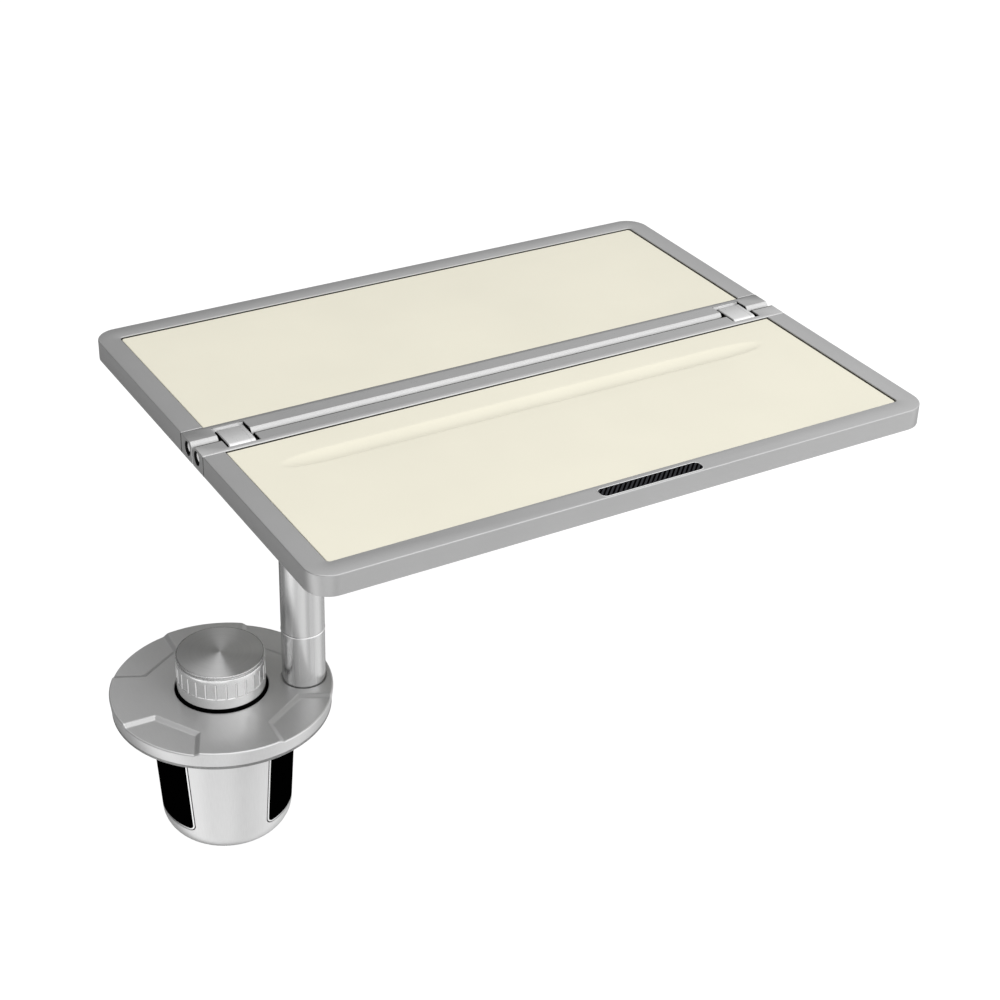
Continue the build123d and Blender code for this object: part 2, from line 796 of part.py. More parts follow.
nodes = {
    "cup_shell": cup_shell,
    "flange_disc": flange_disc,
    "guide_plate": guide_plate,
    "floor_guide": floor_guide,
    "flange_screws": flange_screws,
    "spindle_bush": spindle_bush,
    "post_stub": post_stub,
    "post_screw": post_screw,
    "swivel_spigot": swivel_spigot,
    "swivel_washer": swivel_washer,
    "spigot_clip": spigot_clip,
    "knob_body": knob_body,
    "knob_cap": knob_cap,
    "spindle": spindle,
    "spindle_nut": spindle_nut,
    "spindle_clip": spindle_clip,
    "expander_cone": expander_cone,
    "post_tube": post_tube,
    "swivel_bush": swivel_bush,
    "table_bracket": table_bracket,
    "bracket_screws": bracket_screws,
    "bracket_clamp_screw": bracket_clamp_screw,
    "nut_plate": nut_plate,
    "near_frame": near_frame,
    "near_rail": near_rail,
    "near_panel": near_panel,
    "near_back_plate": near_back_plate,
    "grip_strip": grip_strip,
    "near_hinge_pins": near_hinge_pins,
    "hinge_link_left": on_tray(hinge_link(-1)),
    "hinge_link_right": on_tray(hinge_link(1)),
    "far_frame": far_frame,
    "far_rail": far_rail,
    "far_panel": far_panel,
    "far_back_plate": far_back_plate,
    "far_hinge_pins": far_hinge_pins,
}
for i, angle in enumerate(shoe_angles):
    nodes[f"shoe_carrier_{i + 1}"] = Rot(0, 0, angle) * carrier
    nodes[f"shoe_pad_{i + 1}"] = Rot(0, 0, angle) * pad
for name, shape in nodes.items():
    export_step(shape, f"parts/{name}.step")
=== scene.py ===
import json
from math import atan2, cos, degrees, pi, radians, sin, sqrt

import bmesh
import bpy
import numpy as np
from mathutils import Matrix, Vector


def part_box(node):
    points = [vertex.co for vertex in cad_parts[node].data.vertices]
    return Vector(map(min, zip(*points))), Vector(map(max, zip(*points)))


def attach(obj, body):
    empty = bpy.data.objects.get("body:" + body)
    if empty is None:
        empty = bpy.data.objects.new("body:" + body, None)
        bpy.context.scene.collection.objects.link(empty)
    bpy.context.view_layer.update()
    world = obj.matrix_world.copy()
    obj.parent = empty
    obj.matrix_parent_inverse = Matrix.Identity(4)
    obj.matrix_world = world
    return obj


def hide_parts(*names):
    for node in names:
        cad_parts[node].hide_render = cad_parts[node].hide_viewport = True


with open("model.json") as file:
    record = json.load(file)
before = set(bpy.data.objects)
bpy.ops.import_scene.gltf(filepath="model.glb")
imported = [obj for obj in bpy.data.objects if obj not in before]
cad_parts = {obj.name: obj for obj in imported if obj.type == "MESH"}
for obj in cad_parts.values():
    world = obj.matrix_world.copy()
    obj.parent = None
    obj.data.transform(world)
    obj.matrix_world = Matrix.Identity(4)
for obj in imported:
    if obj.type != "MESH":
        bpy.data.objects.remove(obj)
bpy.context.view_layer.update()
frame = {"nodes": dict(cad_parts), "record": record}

nodes = frame["nodes"]

MM = 0.001


def middle(*names):
    """Centre of the box round some nodes, and its lowest and highest corners."""
    lows, highs = zip(*(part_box(name) for name in names))
    low = Vector(map(min, zip(*lows)))
    high = Vector(map(max, zip(*highs)))
    return (low + high) / 2, low, high


tray_middle, tray_low, tray_high = middle("near_frame", "far_frame", "near_rail", "far_rail")
post_middle, post_low, _ = middle("post_tube")
_, disc_low, disc_high = middle("flange_disc")

# Camera: place from the middle of the tray's top, turns in radians, focal length in picture widths
CAMERA_FROM_TRAY = (-0.500377, -0.818728, 0.494494)
CAMERA_YAW = 0.549521
CAMERA_PITCH = 0.540436
CAMERA_ROLL = 0.033812
CAMERA_FOCAL = 1.993479
CAMERA_SHIFT = (0.000732, -0.002467)


class Shade:
    """Builds one procedural material, node by node, in the metres of the part."""

    def __init__(self, name, **settings):
        self.material = bpy.data.materials.new(name)
        self.material.use_nodes = True
        self.tree = self.material.node_tree
        self.shader = self.tree.nodes["Principled BSDF"]
        for socket, value in settings.items():
            self.shader.inputs[socket.replace("_", " ")].default_value = value
        self.place = self.add("TexCoord").outputs["Object"]
        self.normal = None

    def add(self, kind, *inputs, **fields):
        """New node; inputs fill its sockets in order, and None leaves one alone."""
        node = self.tree.nodes.new("ShaderNode" + kind)
        for field, value in fields.items():
            setattr(node, field, value)
        for socket, value in zip(node.inputs, inputs):
            self.feed(socket, value)
        return node

    def feed(self, socket, value):
        """Links a socket, or writes a constant into it."""
        if isinstance(value, bpy.types.NodeSocket):
            self.tree.links.new(value, socket)
        elif value is not None:
            socket.default_value = value

    def stretch(self, scale, place=None):
        """Coordinates multiplied by a scale for each axis, in cells per metre."""
        node = self.add("VectorMath", place or self.place, scale, operation="MULTIPLY")
        return node.outputs[0]

    def noise(self, scale, detail=2.0, rough=0.5, place=None):
        """Noise from 0 to 1, with its cells per metre along X, Y and Z."""
        node = self.add("TexNoise", self.stretch(scale, place))
        node.inputs["Scale"].default_value = 1.0
        node.inputs["Detail"].default_value = detail
        node.inputs["Roughness"].default_value = rough
        return node.outputs["Fac"]

    def math(self, operation, a, b=None, c=None):
        """Result of one sum on numbers."""
        return self.add("Math", a, b, c, operation=operation).outputs[0]

    def span(self, value, low, high, start=0.0, end=1.0, smooth=False):
        """Maps start..end of a value to low..high."""
        node = self.add("MapRange", value, start, end, low, high)
        if smooth:
            node.interpolation_type = "SMOOTHSTEP"
        return node.outputs[0]

    def mix(self, factor, a, b):
        """Blend of two colours."""
        node = self.add("Mix", data_type="RGBA")
        self.feed(node.inputs["Factor"], factor)
        self.feed(node.inputs[6], a if isinstance(a, bpy.types.NodeSocket) else tint(a))
        self.feed(node.inputs[7], b if isinstance(b, bpy.types.NodeSocket) else tint(b))
        return node.outputs[2]

    def ramp(self, value, stops):
        """Levels at given values, with straight blends between them."""
        low, high = stops[0][0], stops[-1][0]
        top = max(level for _, level in stops)
        node = self.add("ValToRGB", self.span(value, 0.0, 1.0, low, high))
        marks = node.color_ramp.elements
        marks[0].color = tint(stops[0][1] / top)
        marks[1].color = tint(stops[-1][1] / top)
        for at, level in stops[1:-1]:
            marks.new((at - low) / (high - low)).color = tint(level / top)
        return self.add("VectorMath", node.outputs[0], (top, top, top), operation="MULTIPLY").outputs[0]

    def color(self, value):
        self.feed(self.shader.inputs["Base Color"], value)

    def roughness(self, value):
        self.feed(self.shader.inputs["Roughness"], value)

    def bump(self, height, distance, strength=1.0):
        """Adds relief of a height in metres on top of any before it."""
        node = self.add("Bump")
        node.inputs["Strength"].default_value = strength
        node.inputs["Distance"].default_value = distance
        self.feed(node.inputs["Height"], height)
        if self.normal is not None:
            self.feed(node.inputs["Normal"], self.normal)
        self.normal = node.outputs[0]
        self.feed(self.shader.inputs["Normal"], self.normal)


def tint(value):
    """Four numbers for a colour, from a grey level or from three numbers."""
    if isinstance(value, (int, float)):
        return (value, value, value, 1.0)
    return (*value, 1.0)


def srgb(code):
    """Linear colour from a six-digit hex code."""
    levels = [int(code[i : i + 2], 16) / 255 for i in (0, 2, 4)]
    return tuple(v / 12.92 if v < 0.04045 else ((v + 0.055) / 1.055) ** 2.4 for v in levels)


def metal(name, level, rough, along=(1, 1, 1), grain=1500.0, depth=4e-6, spread=0.05, metallic=1.0, **more):
    """Metal with fine grain; a small number in along draws the grain out on that axis."""
    shade = Shade(name, Metallic=metallic, **more)
    fine = shade.noise([grain * a for a in along], 3.0, 0.6)
    broad = shade.noise((24, 24, 24), 2.0, 0.5)
    tone = shade.math("ADD", shade.math("MULTIPLY", fine, 0.6), shade.math("MULTIPLY", broad, 0.4))
    shade.color(shade.mix(shade.span(tone, 0, 1, 0.3, 0.7), level * (1 - spread), level * (1 + spread)))
    shade.roughness(shade.span(fine, rough - 0.05, rough + 0.05, 0.25, 0.75))
    shade.bump(fine, depth)
    return shade


frame_silver = metal("frame_silver", 0.505, 0.34, grain=5000, depth=4e-6, metallic=0.68)
rail_silver = metal("rail_silver", 0.52, 0.31, along=(0.02, 1, 1), grain=4000, depth=2e-6, metallic=0.72)
disc_silver = metal("disc_silver", 0.52, 0.33, along=(1, 0.06, 1), grain=3500, depth=2e-6, metallic=0.68)
# Lighter copy of the disc's metal, painted light on the disc's rim
rim_lit_silver = metal("rim_lit_silver", 0.70, 0.36, along=(1, 1, 0.05), grain=3000, depth=1e-6, metallic=0.75)
# Near-white, mostly matt ribs of the knob: painted highlight on the ribs
rib_highlight_white = metal("rib_highlight_white", 1.0, 0.25, grain=3000, depth=1e-6, spread=0.02, metallic=0.15)
cup_silver = metal("cup_silver", 0.80, 0.42, along=(1, 1, 0.03), grain=2500, depth=2e-6, metallic=0.8)
knob_silver = metal("knob_silver", 0.72, 0.26, grain=3000, depth=4e-6)
post_steel = metal("post_steel", 0.69, 0.24, along=(1, 1, 0.006), grain=3000, depth=6e-7, spread=0.03, metallic=0.88)
link_steel = metal("link_steel", 0.76, 0.32, along=(1, 0.04, 1), grain=5000, depth=1e-6, spread=0.03, metallic=0.7)
plain_steel = metal("plain_steel", 0.50, 0.34, grain=2500, depth=5e-6)
rim_silver = metal("rim_silver", 0.85, 0.25, grain=2500, depth=3e-6)
# Near-white, mostly matt metal painted as light on the pocket end walls and the pin ends
painted_light_silver = metal("painted_light_silver", 0.95, 0.45, grain=3000, depth=1e-6, spread=0.02, metallic=0.2)
bright_steel = metal("bright_steel", 0.95, 0.22, grain=2500, depth=1e-6)


def plastic(name, color, rough, grain=3000.0, depth=1e-5, spread=0.06, **more):
    """Moulded plastic with fine grain."""
    shade = Shade(name, **more)
    fine = shade.noise((grain, grain, grain), 3.0, 0.6)
    broad = shade.noise((18, 18, 18), 2.0, 0.5)
    dark = tuple(v * (1 - spread) for v in color)
    light = tuple(min(1.0, v * (1 + spread)) for v in color)
    shade.color(shade.mix(shade.span(broad, 0, 1, 0.3, 0.7), dark, light))
    shade.roughness(shade.span(fine, rough - 0.06, rough + 0.06, 0.25, 0.75))
    shade.bump(fine, depth)
    return shade


panel_cream = plastic("panel_cream", srgb("EBE7D5"), 0.42, grain=2500, depth=6e-6, spread=0.015)
back_grey = plastic("back_grey", srgb("C8C8C4"), 0.55, grain=1600, depth=2e-5)
dark_plastic = plastic("dark_plastic", srgb("2A2A2C"), 0.5)
pad_rubber = plastic("pad_rubber", srgb("010101"), 0.6, grain=2200, depth=1.5e-5, Specular_IOR_Level=0.0)
# Dark olive painted as shade in the gaps round the panels and along the near rail's folding edge
painted_shade_olive = plastic("painted_shade_olive", srgb("3C3B36"), 0.6, Specular_IOR_Level=0.1)
# Near-black painted as shade inside the rails' end bores
bore_shade_black = plastic("bore_shade_black", srgb("0B0B0C"), 0.5, Specular_IOR_Level=0.2)
strip_black = plastic("strip_black", srgb("161616"), 0.35, Specular_IOR_Level=0.4)
# Near-black painted as shade in gaps, pockets and creases
painted_shade_black = plastic("painted_shade_black", srgb("040404"), 0.8, Specular_IOR_Level=0.05)


def spun(name, level, rough, bend, fall):
    """Metal turned on a lathe: fine rings, a streaked highlight and a face that falls to its edge."""
    shade = Shade(name, Metallic=0.95, Anisotropic=bend, Anisotropic_Rotation=0.25)
    flat = shade.add("VectorMath", shade.place, (1, 1, 0), operation="MULTIPLY").outputs[0]
    out = shade.add("VectorMath", flat, operation="LENGTH").outputs[1]
    line = shade.add("CombineXYZ", out).outputs[0]
    rings = shade.noise((9000, 1, 1), 3.0, 0.7, place=line)
    wide = shade.noise((700, 1, 1), 2.0, 0.5, place=line)
    tone = shade.math("ADD", shade.math("MULTIPLY", rings, 0.6), shade.math("MULTIPLY", wide, 0.4))
    shade.color(shade.mix(shade.span(tone, 0, 1, 0.3, 0.7), level * 0.93, level * 1.07))
    shade.roughness(shade.span(rings, rough - 0.04, rough + 0.04, 0.3, 0.7))
    shade.bump(rings, 2e-6)
    shade.bump(shade.math("MULTIPLY", out, -1.0), fall)
    turn = shade.add("Tangent", direction_type="RADIAL", axis="Z")
    shade.feed(shade.shader.inputs["Tangent"], turn.outputs[0])
    return shade


knob_face = spun("knob_face", 0.59, 0.37, 0.86, radians(6.0))
knob_side = metal("knob_side", 1.0, 0.19, along=(1, 1, 0.05), grain=2500, depth=1e-6, spread=0.03, metallic=0.85)


def woven(name, center, tow):
    """Twill of black tows, two over and two under, leaning to the right, with a painted sheen on the tows that lie
    over.
    """
    shade = Shade(name, Specular_IOR_Level=0.0, Roughness=0.6)
    local = shade.add("VectorMath", shade.place, center, operation="SUBTRACT").outputs[0]
    cells = shade.add("SeparateXYZ", shade.stretch((1 / tow, 1 / tow, 1), local))
    across, along = cells.outputs[0], cells.outputs[1]
    step = shade.math("SUBTRACT", shade.math("FLOOR", across), shade.math("FLOOR", along))
    over = shade.math("LESS_THAN", shade.math("FLOORED_MODULO", step, 4.0), 1.5)
    ridge = shade.math("ABSOLUTE", shade.math("SINE", shade.math("MULTIPLY", across, pi)))
    gap = shade.math("ABSOLUTE", shade.math("SINE", shade.math("MULTIPLY", along, pi)))
    # Painted sheen: the over tows are drawn lighter where they would catch the light
    painted_sheen = shade.math("MULTIPLY", over, shade.span(shade.math("MULTIPLY", ridge, gap), 0.10, 1.0, 0.1, 0.8))
    fibres = shade.noise((1500, 6000, 1), 2.0, 0.6)
    painted_sheen = shade.math("MULTIPLY", painted_sheen, shade.span(fibres, 0.8, 1.2, 0.3, 0.7))
    shade.color(shade.mix(painted_sheen, srgb("030303"), srgb("4C4D51")))
    return shade


LOOKS = {
    "frame_silver": frame_silver,
    "rail_silver": rail_silver,
    "disc_grey": disc_silver,
    "cup_silver": cup_silver,
    "knob_metal": knob_silver,
    "post_steel": post_steel,
    "link_steel": link_steel,
    "steel_plain": plain_steel,
    "shoe_metal": rim_silver,
    "panel_cream": panel_cream,
    "back_grey": back_grey,
    "bush_plastic": dark_plastic,
    "guide_plastic": dark_plastic,
    "pad_rubber": pad_rubber,
    "strip_black": strip_black,
}
for part in frame["record"]["subparts"]:
    mesh = nodes[part["node"]].data
    mesh.materials.clear()
    mesh.materials.append(LOOKS[part["material_slot"]].material)


def new_object(name, points, faces):
    """Object from points and faces."""
    mesh = bpy.data.meshes.new(name)
    mesh.from_pydata(np.asarray(points).tolist(), [], faces)
    thing = bpy.data.objects.new(name, mesh)
    bpy.context.collection.objects.link(thing)
    return thing


def face_outwards(mesh):
    """Turns all faces of a closed mesh outwards."""
    shape = bmesh.new()
    shape.from_mesh(mesh)
    bmesh.ops.recalc_face_normals(shape, faces=shape.faces)
    shape.to_mesh(mesh)
    shape.free()


def put_mesh(name, points, faces, look, body, slot, replaces=(), sharp=35.0):
    """New piece from points and faces, smooth but for its sharp edges."""
    piece = new_object(name, points, faces)
    piece.data.validate()
    return finish_piece(piece, look, body, replaces, sharp)


def finish_piece(piece, look, body, replaces=(), sharp=35.0):
    """Material, shading and place in the model of a piece."""
    face_outwards(piece.data)
    piece.data.shade_smooth()
    piece.data.set_sharp_from_angle(angle=radians(sharp))
    piece.data.materials.clear()
    piece.data.materials.append(look.material)
    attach(piece, body)
    if replaces:
        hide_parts(*replaces)
    return piece


def grid_faces(rows, columns, round_columns=False, round_rows=False, capped=False):
    """Quads between the points of a grid, stored row by row, and faces over its first and last rows."""
    faces = []
    for i in range(rows if round_rows else rows - 1):
        low = i * columns
        high = (i + 1) % rows * columns
        for j in range(columns if round_columns else columns - 1):
            k = (j + 1) % columns
            faces.append((low + j, low + k, high + k, high + j))
    if capped:
        faces += [tuple(range(columns)), tuple(range((rows - 1) * columns, rows * columns))]
    return faces


def prism_faces(count, base=0):
    """Faces of a prism with count corners, whose two ends are stored from point base on."""
    faces = []
    for i in range(count):
        k = (i + 1) % count
        faces.append((base + i, base + k, base + count + k, base + count + i))
    return faces + [tuple(range(base, base + count)), tuple(range(base + count, base + 2 * count))]


def put_sheet(name, grid, low, look, body, slot, replaces, **more):
    """Piece with a fine grid on top, upright sides and a flat face below."""
    rows, columns = len(grid), len(grid[0])
    top = np.concatenate(grid)
    border = list(range(columns))
    border += [i * columns + columns - 1 for i in range(1, rows)]
    border += [(rows - 1) * columns + j for j in range(columns - 2, -1, -1)]
    border += [i * columns for i in range(rows - 2, 0, -1)]
    skirt = top[border].copy()
    skirt[:, 2] = low
    base, count = len(top), len(border)
    faces = grid_faces(rows, columns)
    faces += [(border[k], border[(k + 1) % count], base + (k + 1) % count, base + k) for k in range(count)]
    faces.append(tuple(range(base, base + count)))
    put_mesh(name, np.concatenate([top, skirt]), faces, look, body, slot, replaces, **more)


def turned(name, radius, height, place, look, body, slot, closed=True, turn=None, **more):
    """Piece turned about an upright axis, from the radius and the height of each ring at each angle."""
    rings, count = radius.shape
    if turn is None:
        turn = circle(count)
    points = np.stack([radius * np.cos(turn) + place[0], radius * np.sin(turn) + place[1], height], -1)
    faces = grid_faces(rings, count, round_columns=True, round_rows=closed, capped=not closed)
    return put_mesh(name, points.reshape(-1, 3), faces, look, body, slot, **more)


def turned_profile(name, profile, count, look, body, slot, place=(0, 0), **more):
    """Piece turned from one profile of (radius, height) in metres."""
    profile = np.array(profile)
    radius, height = (np.repeat(profile[:, i : i + 1], count, axis=1) for i in (0, 1))
    return turned(name, radius, height, place, look, body, slot, **more)


def circle(count):
    """Angles of count places round a circle."""
    return np.arange(count) * 2 * pi / count


def arc(center, radius, start, end, steps):
    """Points of an arc in a plane, from one angle in degrees to another."""
    turns = np.radians(np.linspace(start, end, steps))
    return [(center[0] + radius * cos(t), center[1] + radius * sin(t)) for t in turns]


def rectangle(left, right, low, high):
    """Corners of a rectangle in a plane."""
    return [(left, low), (right, low), (right, high), (left, high)]


def cut_out(piece, cutter):
    """Takes one shape out of another and deletes the cutter."""
    tool = piece.modifiers.new("cut", "BOOLEAN")
    tool.operation = "DIFFERENCE"
    tool.solver = "EXACT"
    tool.object = cutter
    graph = bpy.context.evaluated_depsgraph_get()
    mesh = bpy.data.meshes.new_from_object(piece.evaluated_get(graph))
    piece.modifiers.clear()
    piece.data = mesh
    bpy.data.objects.remove(cutter, do_unlink=True)


def new_cutter(name, points, faces):
    """Closed object for cut_out."""
    thing = new_object(name, points, faces)
    face_outwards(thing.data)
    return thing


# Disc with its four sunk facets, rounded rim and post socket
DISC_RADIUS = disc_high.x
DISC_FOOT_RADIUS = DISC_RADIUS - 1.0 * MM
DISC_ROUND = 0.9 * MM
DISC_FOOT_ROUND = 0.7 * MM
DISC_POCKET = 23.4 * MM
DISC_POCKET_DEPTH = 5.0 * MM
DISC_POCKET_ROUND = 0.43 * MM
DISC_BORE = 8.0 * MM
FACET_DEPTH = 1.3 * MM
FACET_SLOPE = 2.6 * MM
FACET_INNER = (39.2 * MM, 20.3)
FACET_OUTER = (61.0 * MM, 25.2)
FACET_FIRST = 31.0
POST_RADIUS = 11.0 * MM


def facet_drop(x, y):
    """Depth of the sunk facets at places on the disc, with softly rounded edges."""
    x_in, y_in = FACET_INNER[0] * cos(radians(FACET_INNER[1])), FACET_INNER[0] * sin(radians(FACET_INNER[1]))
    x_out, y_out = FACET_OUTER[0] * cos(radians(FACET_OUTER[1])), FACET_OUTER[0] * sin(radians(FACET_OUTER[1]))
    rise = (y_out - y_in) / (x_out - x_in)
    drop = np.zeros_like(x)
    for i in range(4):
        turn = radians(FACET_FIRST + 90 * i)
        along = x * cos(turn) + y * sin(turn)
        across = np.abs(y * cos(turn) - x * sin(turn))
        inside = np.minimum(along - x_in, (y_in + rise * (along - x_in) - across) / sqrt(1 + rise * rise))
        share = np.clip(inside / FACET_SLOPE, 0, 1)
        soft = 0.5 - 0.5 * np.cos(pi * share)
        drop = np.maximum(drop, np.where(along > 0, FACET_DEPTH * (0.72 * share + 0.28 * soft), 0))
    return drop


def make_disc():
    """The disc as one fine mesh."""
    top, low = disc_high.z, disc_low.z
    floor = top - DISC_POCKET_DEPTH
    count = 720
    inner = [(DISC_BORE, floor), (DISC_POCKET, floor), (DISC_POCKET, top - DISC_POCKET_ROUND)]
    inner += arc((DISC_POCKET + DISC_POCKET_ROUND, top - DISC_POCKET_ROUND), DISC_POCKET_ROUND, 180, 90, 4)[1:]
    flat = np.linspace(DISC_POCKET + 1.0 * MM, DISC_RADIUS - DISC_ROUND, 84)
    rim = arc((DISC_RADIUS - DISC_ROUND, top - DISC_ROUND), DISC_ROUND, 90, 4, 9)[1:]
    foot = arc((DISC_FOOT_RADIUS - DISC_FOOT_ROUND, low + DISC_FOOT_ROUND), DISC_FOOT_ROUND, 4, -90, 5)
    stations = inner + [(r, top) for r in flat] + rim + foot + [(DISC_BORE, low)]
    turn = circle(count)
    radius = np.repeat([[r] for r, _ in stations], count, axis=1)
    height = np.repeat([[z] for _, z in stations], count, axis=1)
    first = len(inner)
    last = first + len(flat) + len(rim)
    drop = facet_drop(radius * np.cos(turn), radius * np.sin(turn))
    height[first:last] -= drop[first:last]
    points = np.stack([radius * np.cos(turn), radius * np.sin(turn), height], -1)
    split = first + len(flat) - 1
    under = points[split].copy()
    under[:, 2] = low
    plate = np.concatenate([points[: split + 1], under[None], points[-1:]])
    faces = grid_faces(len(plate), count, round_columns=True, round_rows=True)
    disc = put_mesh("disc_plate", plate.reshape(-1, 3), faces, disc_silver, "base", "disc_grey", ["flange_disc"])
    rim_ring = np.concatenate([points[split:-1], under[None]])
    faces = grid_faces(len(rim_ring), count, round_columns=True, round_rows=True)
    # The rim ring takes a lighter metal than the plate: painted light on the rim
    put_mesh("disc_rim", rim_ring.reshape(-1, 3), faces, rim_lit_silver, "base", "disc_grey", sharp=32)
    gap, screw, socket = 0.7 * MM, 5.6 * MM, 6.5 * MM
    profile = [
        (screw + 1.0 * MM, low - 1.0 * MM),
        (3.0 * MM, low + 2.6 * MM),
        (3.0 * MM, top - socket),
        (POST_RADIUS, top - socket),
        (POST_RADIUS, top - 1.2 * MM),
        (POST_RADIUS + gap, top - 1.2 * MM),
        (POST_RADIUS + gap, top + 1.0 * MM),
    ]
    turn = circle(128)
    points = [(post_middle.x + r * cos(t), post_middle.y + r * sin(t), z) for r, z in profile for t in turn]
    faces = grid_faces(len(profile), len(turn), round_columns=True, capped=True)
    cut_out(disc, new_cutter("post_cutter", points, faces))
    finish_piece(disc, disc_silver, "base", sharp=32)


make_disc()

# Black ring painted as shade in the pocket round the knob
_, knob_low, knob_high = middle("knob_body", "knob_cap")
pocket_floor = disc_high.z - DISC_POCKET_DEPTH
POCKET_SHADE_INNER = 11.6 * MM
POCKET_SHADE_LOW = pocket_floor + 0.02 * MM
POCKET_SHADE_FLOOR = pocket_floor + 0.25 * MM
POCKET_SHADE_TOP = disc_high.z - 0.75 * MM
ring = [
    (POCKET_SHADE_INNER, POCKET_SHADE_LOW),
    (POCKET_SHADE_INNER, POCKET_SHADE_FLOOR),
    (DISC_POCKET - 0.2 * MM, POCKET_SHADE_FLOOR),
    (DISC_POCKET - 0.12 * MM, POCKET_SHADE_TOP),
    (DISC_POCKET - 0.02 * MM, POCKET_SHADE_TOP),
    (DISC_POCKET - 0.02 * MM, POCKET_SHADE_LOW),
]
turned_profile("pocket_shade_ring", ring, 180, painted_shade_black, "base", "bush_plastic")

# Knob: fluted ring with rounded ribs, and a cap turned with fine rings
KNOB_RADIUS = 22.2 * MM
FLUTES = 27
FLUTE_FLOOR = KNOB_RADIUS - 0.3 * MM
FLUTE_TOP = knob_high.z - 5.1 * MM
FLUTE_LENGTH = 8.6 * MM
RIB_SEAT = 0.56 * MM
RIB_SINK = 0.30 * MM
KNOB_LIFT = 1.2 * MM
SKIRT_RADIUS = 21.3 * MM
CAP_RADIUS = 22.0 * MM
CAP_THICKNESS = 1.6 * MM
CAP_GROOVE = 0.8 * MM
CAP_FALL = 0.35 * MM
CAP_LIP = 0.45 * MM


def soft_step(value, start, end):
    """Rises smoothly from 0 to 1 between start and end."""
    share = np.clip((value - start) / (end - start), 0, 1)
    return share * share * (3 - 2 * share)


def make_knob_ring():
    """The fluted ring of the knob with its web, and below it a black skirt painted as shade."""
    ring_top = knob_high.z - CAP_THICKNESS - CAP_GROOVE
    web_top = knob_high.z - 12.0 * MM
    web_low = web_top - 4.0 * MM
    edge = 0.35 * MM
    low = disc_high.z + KNOB_LIFT
    flute_low = FLUTE_TOP - FLUTE_LENGTH
    blend = 0.10 * MM
    levels = [low + edge + 0.3 * MM] + [flute_low + k * blend for k in (-4, -2, -1, 0, 1, 2)]
    levels += list(np.linspace(flute_low + 1.0 * MM, FLUTE_TOP - 1.0 * MM, 5))
    levels += [FLUTE_TOP + k * blend for k in (-2, -1, 0, 1, 2)]
    outside = arc((KNOB_RADIUS - edge, low + edge), edge, -90, 0, 5)
    outside += [(KNOB_RADIUS, z) for z in levels]
    outside += arc((KNOB_RADIUS - edge, ring_top - edge), edge, 0, 90, 5)
    inside = [
        (18.0 * MM, ring_top), (18.0 * MM, ring_top - 3.0 * MM), (14.0 * MM, ring_top - 3.0 * MM),
        (14.0 * MM, web_top), (5.0 * MM, web_top), (5.0 * MM, web_low), (16.0 * MM, web_low), (16.0 * MM, low),
    ]
    half_pitch = pi / FLUTES
    rib_steps = [0.20, 0.42, 0.50, 0.56, 0.70, 0.90]
    marks = [v * MM / KNOB_RADIUS for v in rib_steps] + list(np.linspace(1.2 * MM / KNOB_RADIUS, half_pitch, 5))
    marks = [-m for m in reversed(marks)] + [0.0] + marks[:-1]
    turn = np.array([2 * half_pitch * i + m for i in range(FLUTES) for m in marks])
    local = np.abs(np.tile(marks, FLUTES))
    under_rib = np.clip((RIB_SEAT - local * KNOB_RADIUS) / (0.06 * MM), 0, 1)
    floor = FLUTE_FLOOR / np.cos(half_pitch - local) - RIB_SINK * under_rib
    radius, height = [], []
    for r, z in outside + inside:
        row = np.full(len(turn), r)
        if r > KNOB_RADIUS - 1e-6:
            deep = soft_step(z, flute_low - blend, flute_low + blend)
            deep *= 1 - soft_step(z, FLUTE_TOP - blend, FLUTE_TOP + blend)
            row = row * (1 - deep) + floor * deep
        radius.append(row)
        height.append(np.full(len(turn), z))
    turned(
        "knob_ring", np.array(radius), np.array(height), (0, 0), knob_side, "knob", "knob_metal",
        replaces=["knob_body"], sharp=32, turn=turn,
    )
    inner, top = 16.2 * MM, low + 0.3 * MM
    # Black skirt below the ring: painted shade in the pocket
    skirt = rectangle(inner, SKIRT_RADIUS, knob_low.z, top)
    turned_profile("knob_skirt_shade", skirt, 180, painted_shade_black, "knob", "knob_metal")
    make_knob_ribs(flute_low + blend, FLUTE_TOP - blend, half_pitch)


def make_knob_ribs(low, high, half_pitch):
    """Slim rounded ribs between the flutes, painted near-white as a highlight, and dark lines painted as shade along
    their feet.
    """
    rib = [(-0.40, -0.9), (-0.40, -0.12), (-0.28, -0.03), (0.0, 0.0), (0.28, -0.03), (0.38, -0.12), (0.38, -0.9)]
    foot = [(0.30, -0.95), (0.30, -0.26), (0.62, -0.26), (0.62, -0.95)]
    for name, outline, look in (("knob_ribs", rib, rib_highlight_white), ("knob_rib_foot_shade", foot, painted_shade_black)):
        points, faces = [], []
        for i in range(FLUTES):
            way = Vector((cos(2 * half_pitch * i), sin(2 * half_pitch * i), 0))
            aside = Vector((-way.y, way.x, 0))
            faces += prism_faces(len(outline), len(points))
            for z in (low, high):
                points += [way * (KNOB_RADIUS + out * MM) + aside * (off * MM) + Vector((0, 0, z))
                           for off, out in outline]
        put_mesh(name, points, faces, look, "knob", "knob_metal", sharp=60)


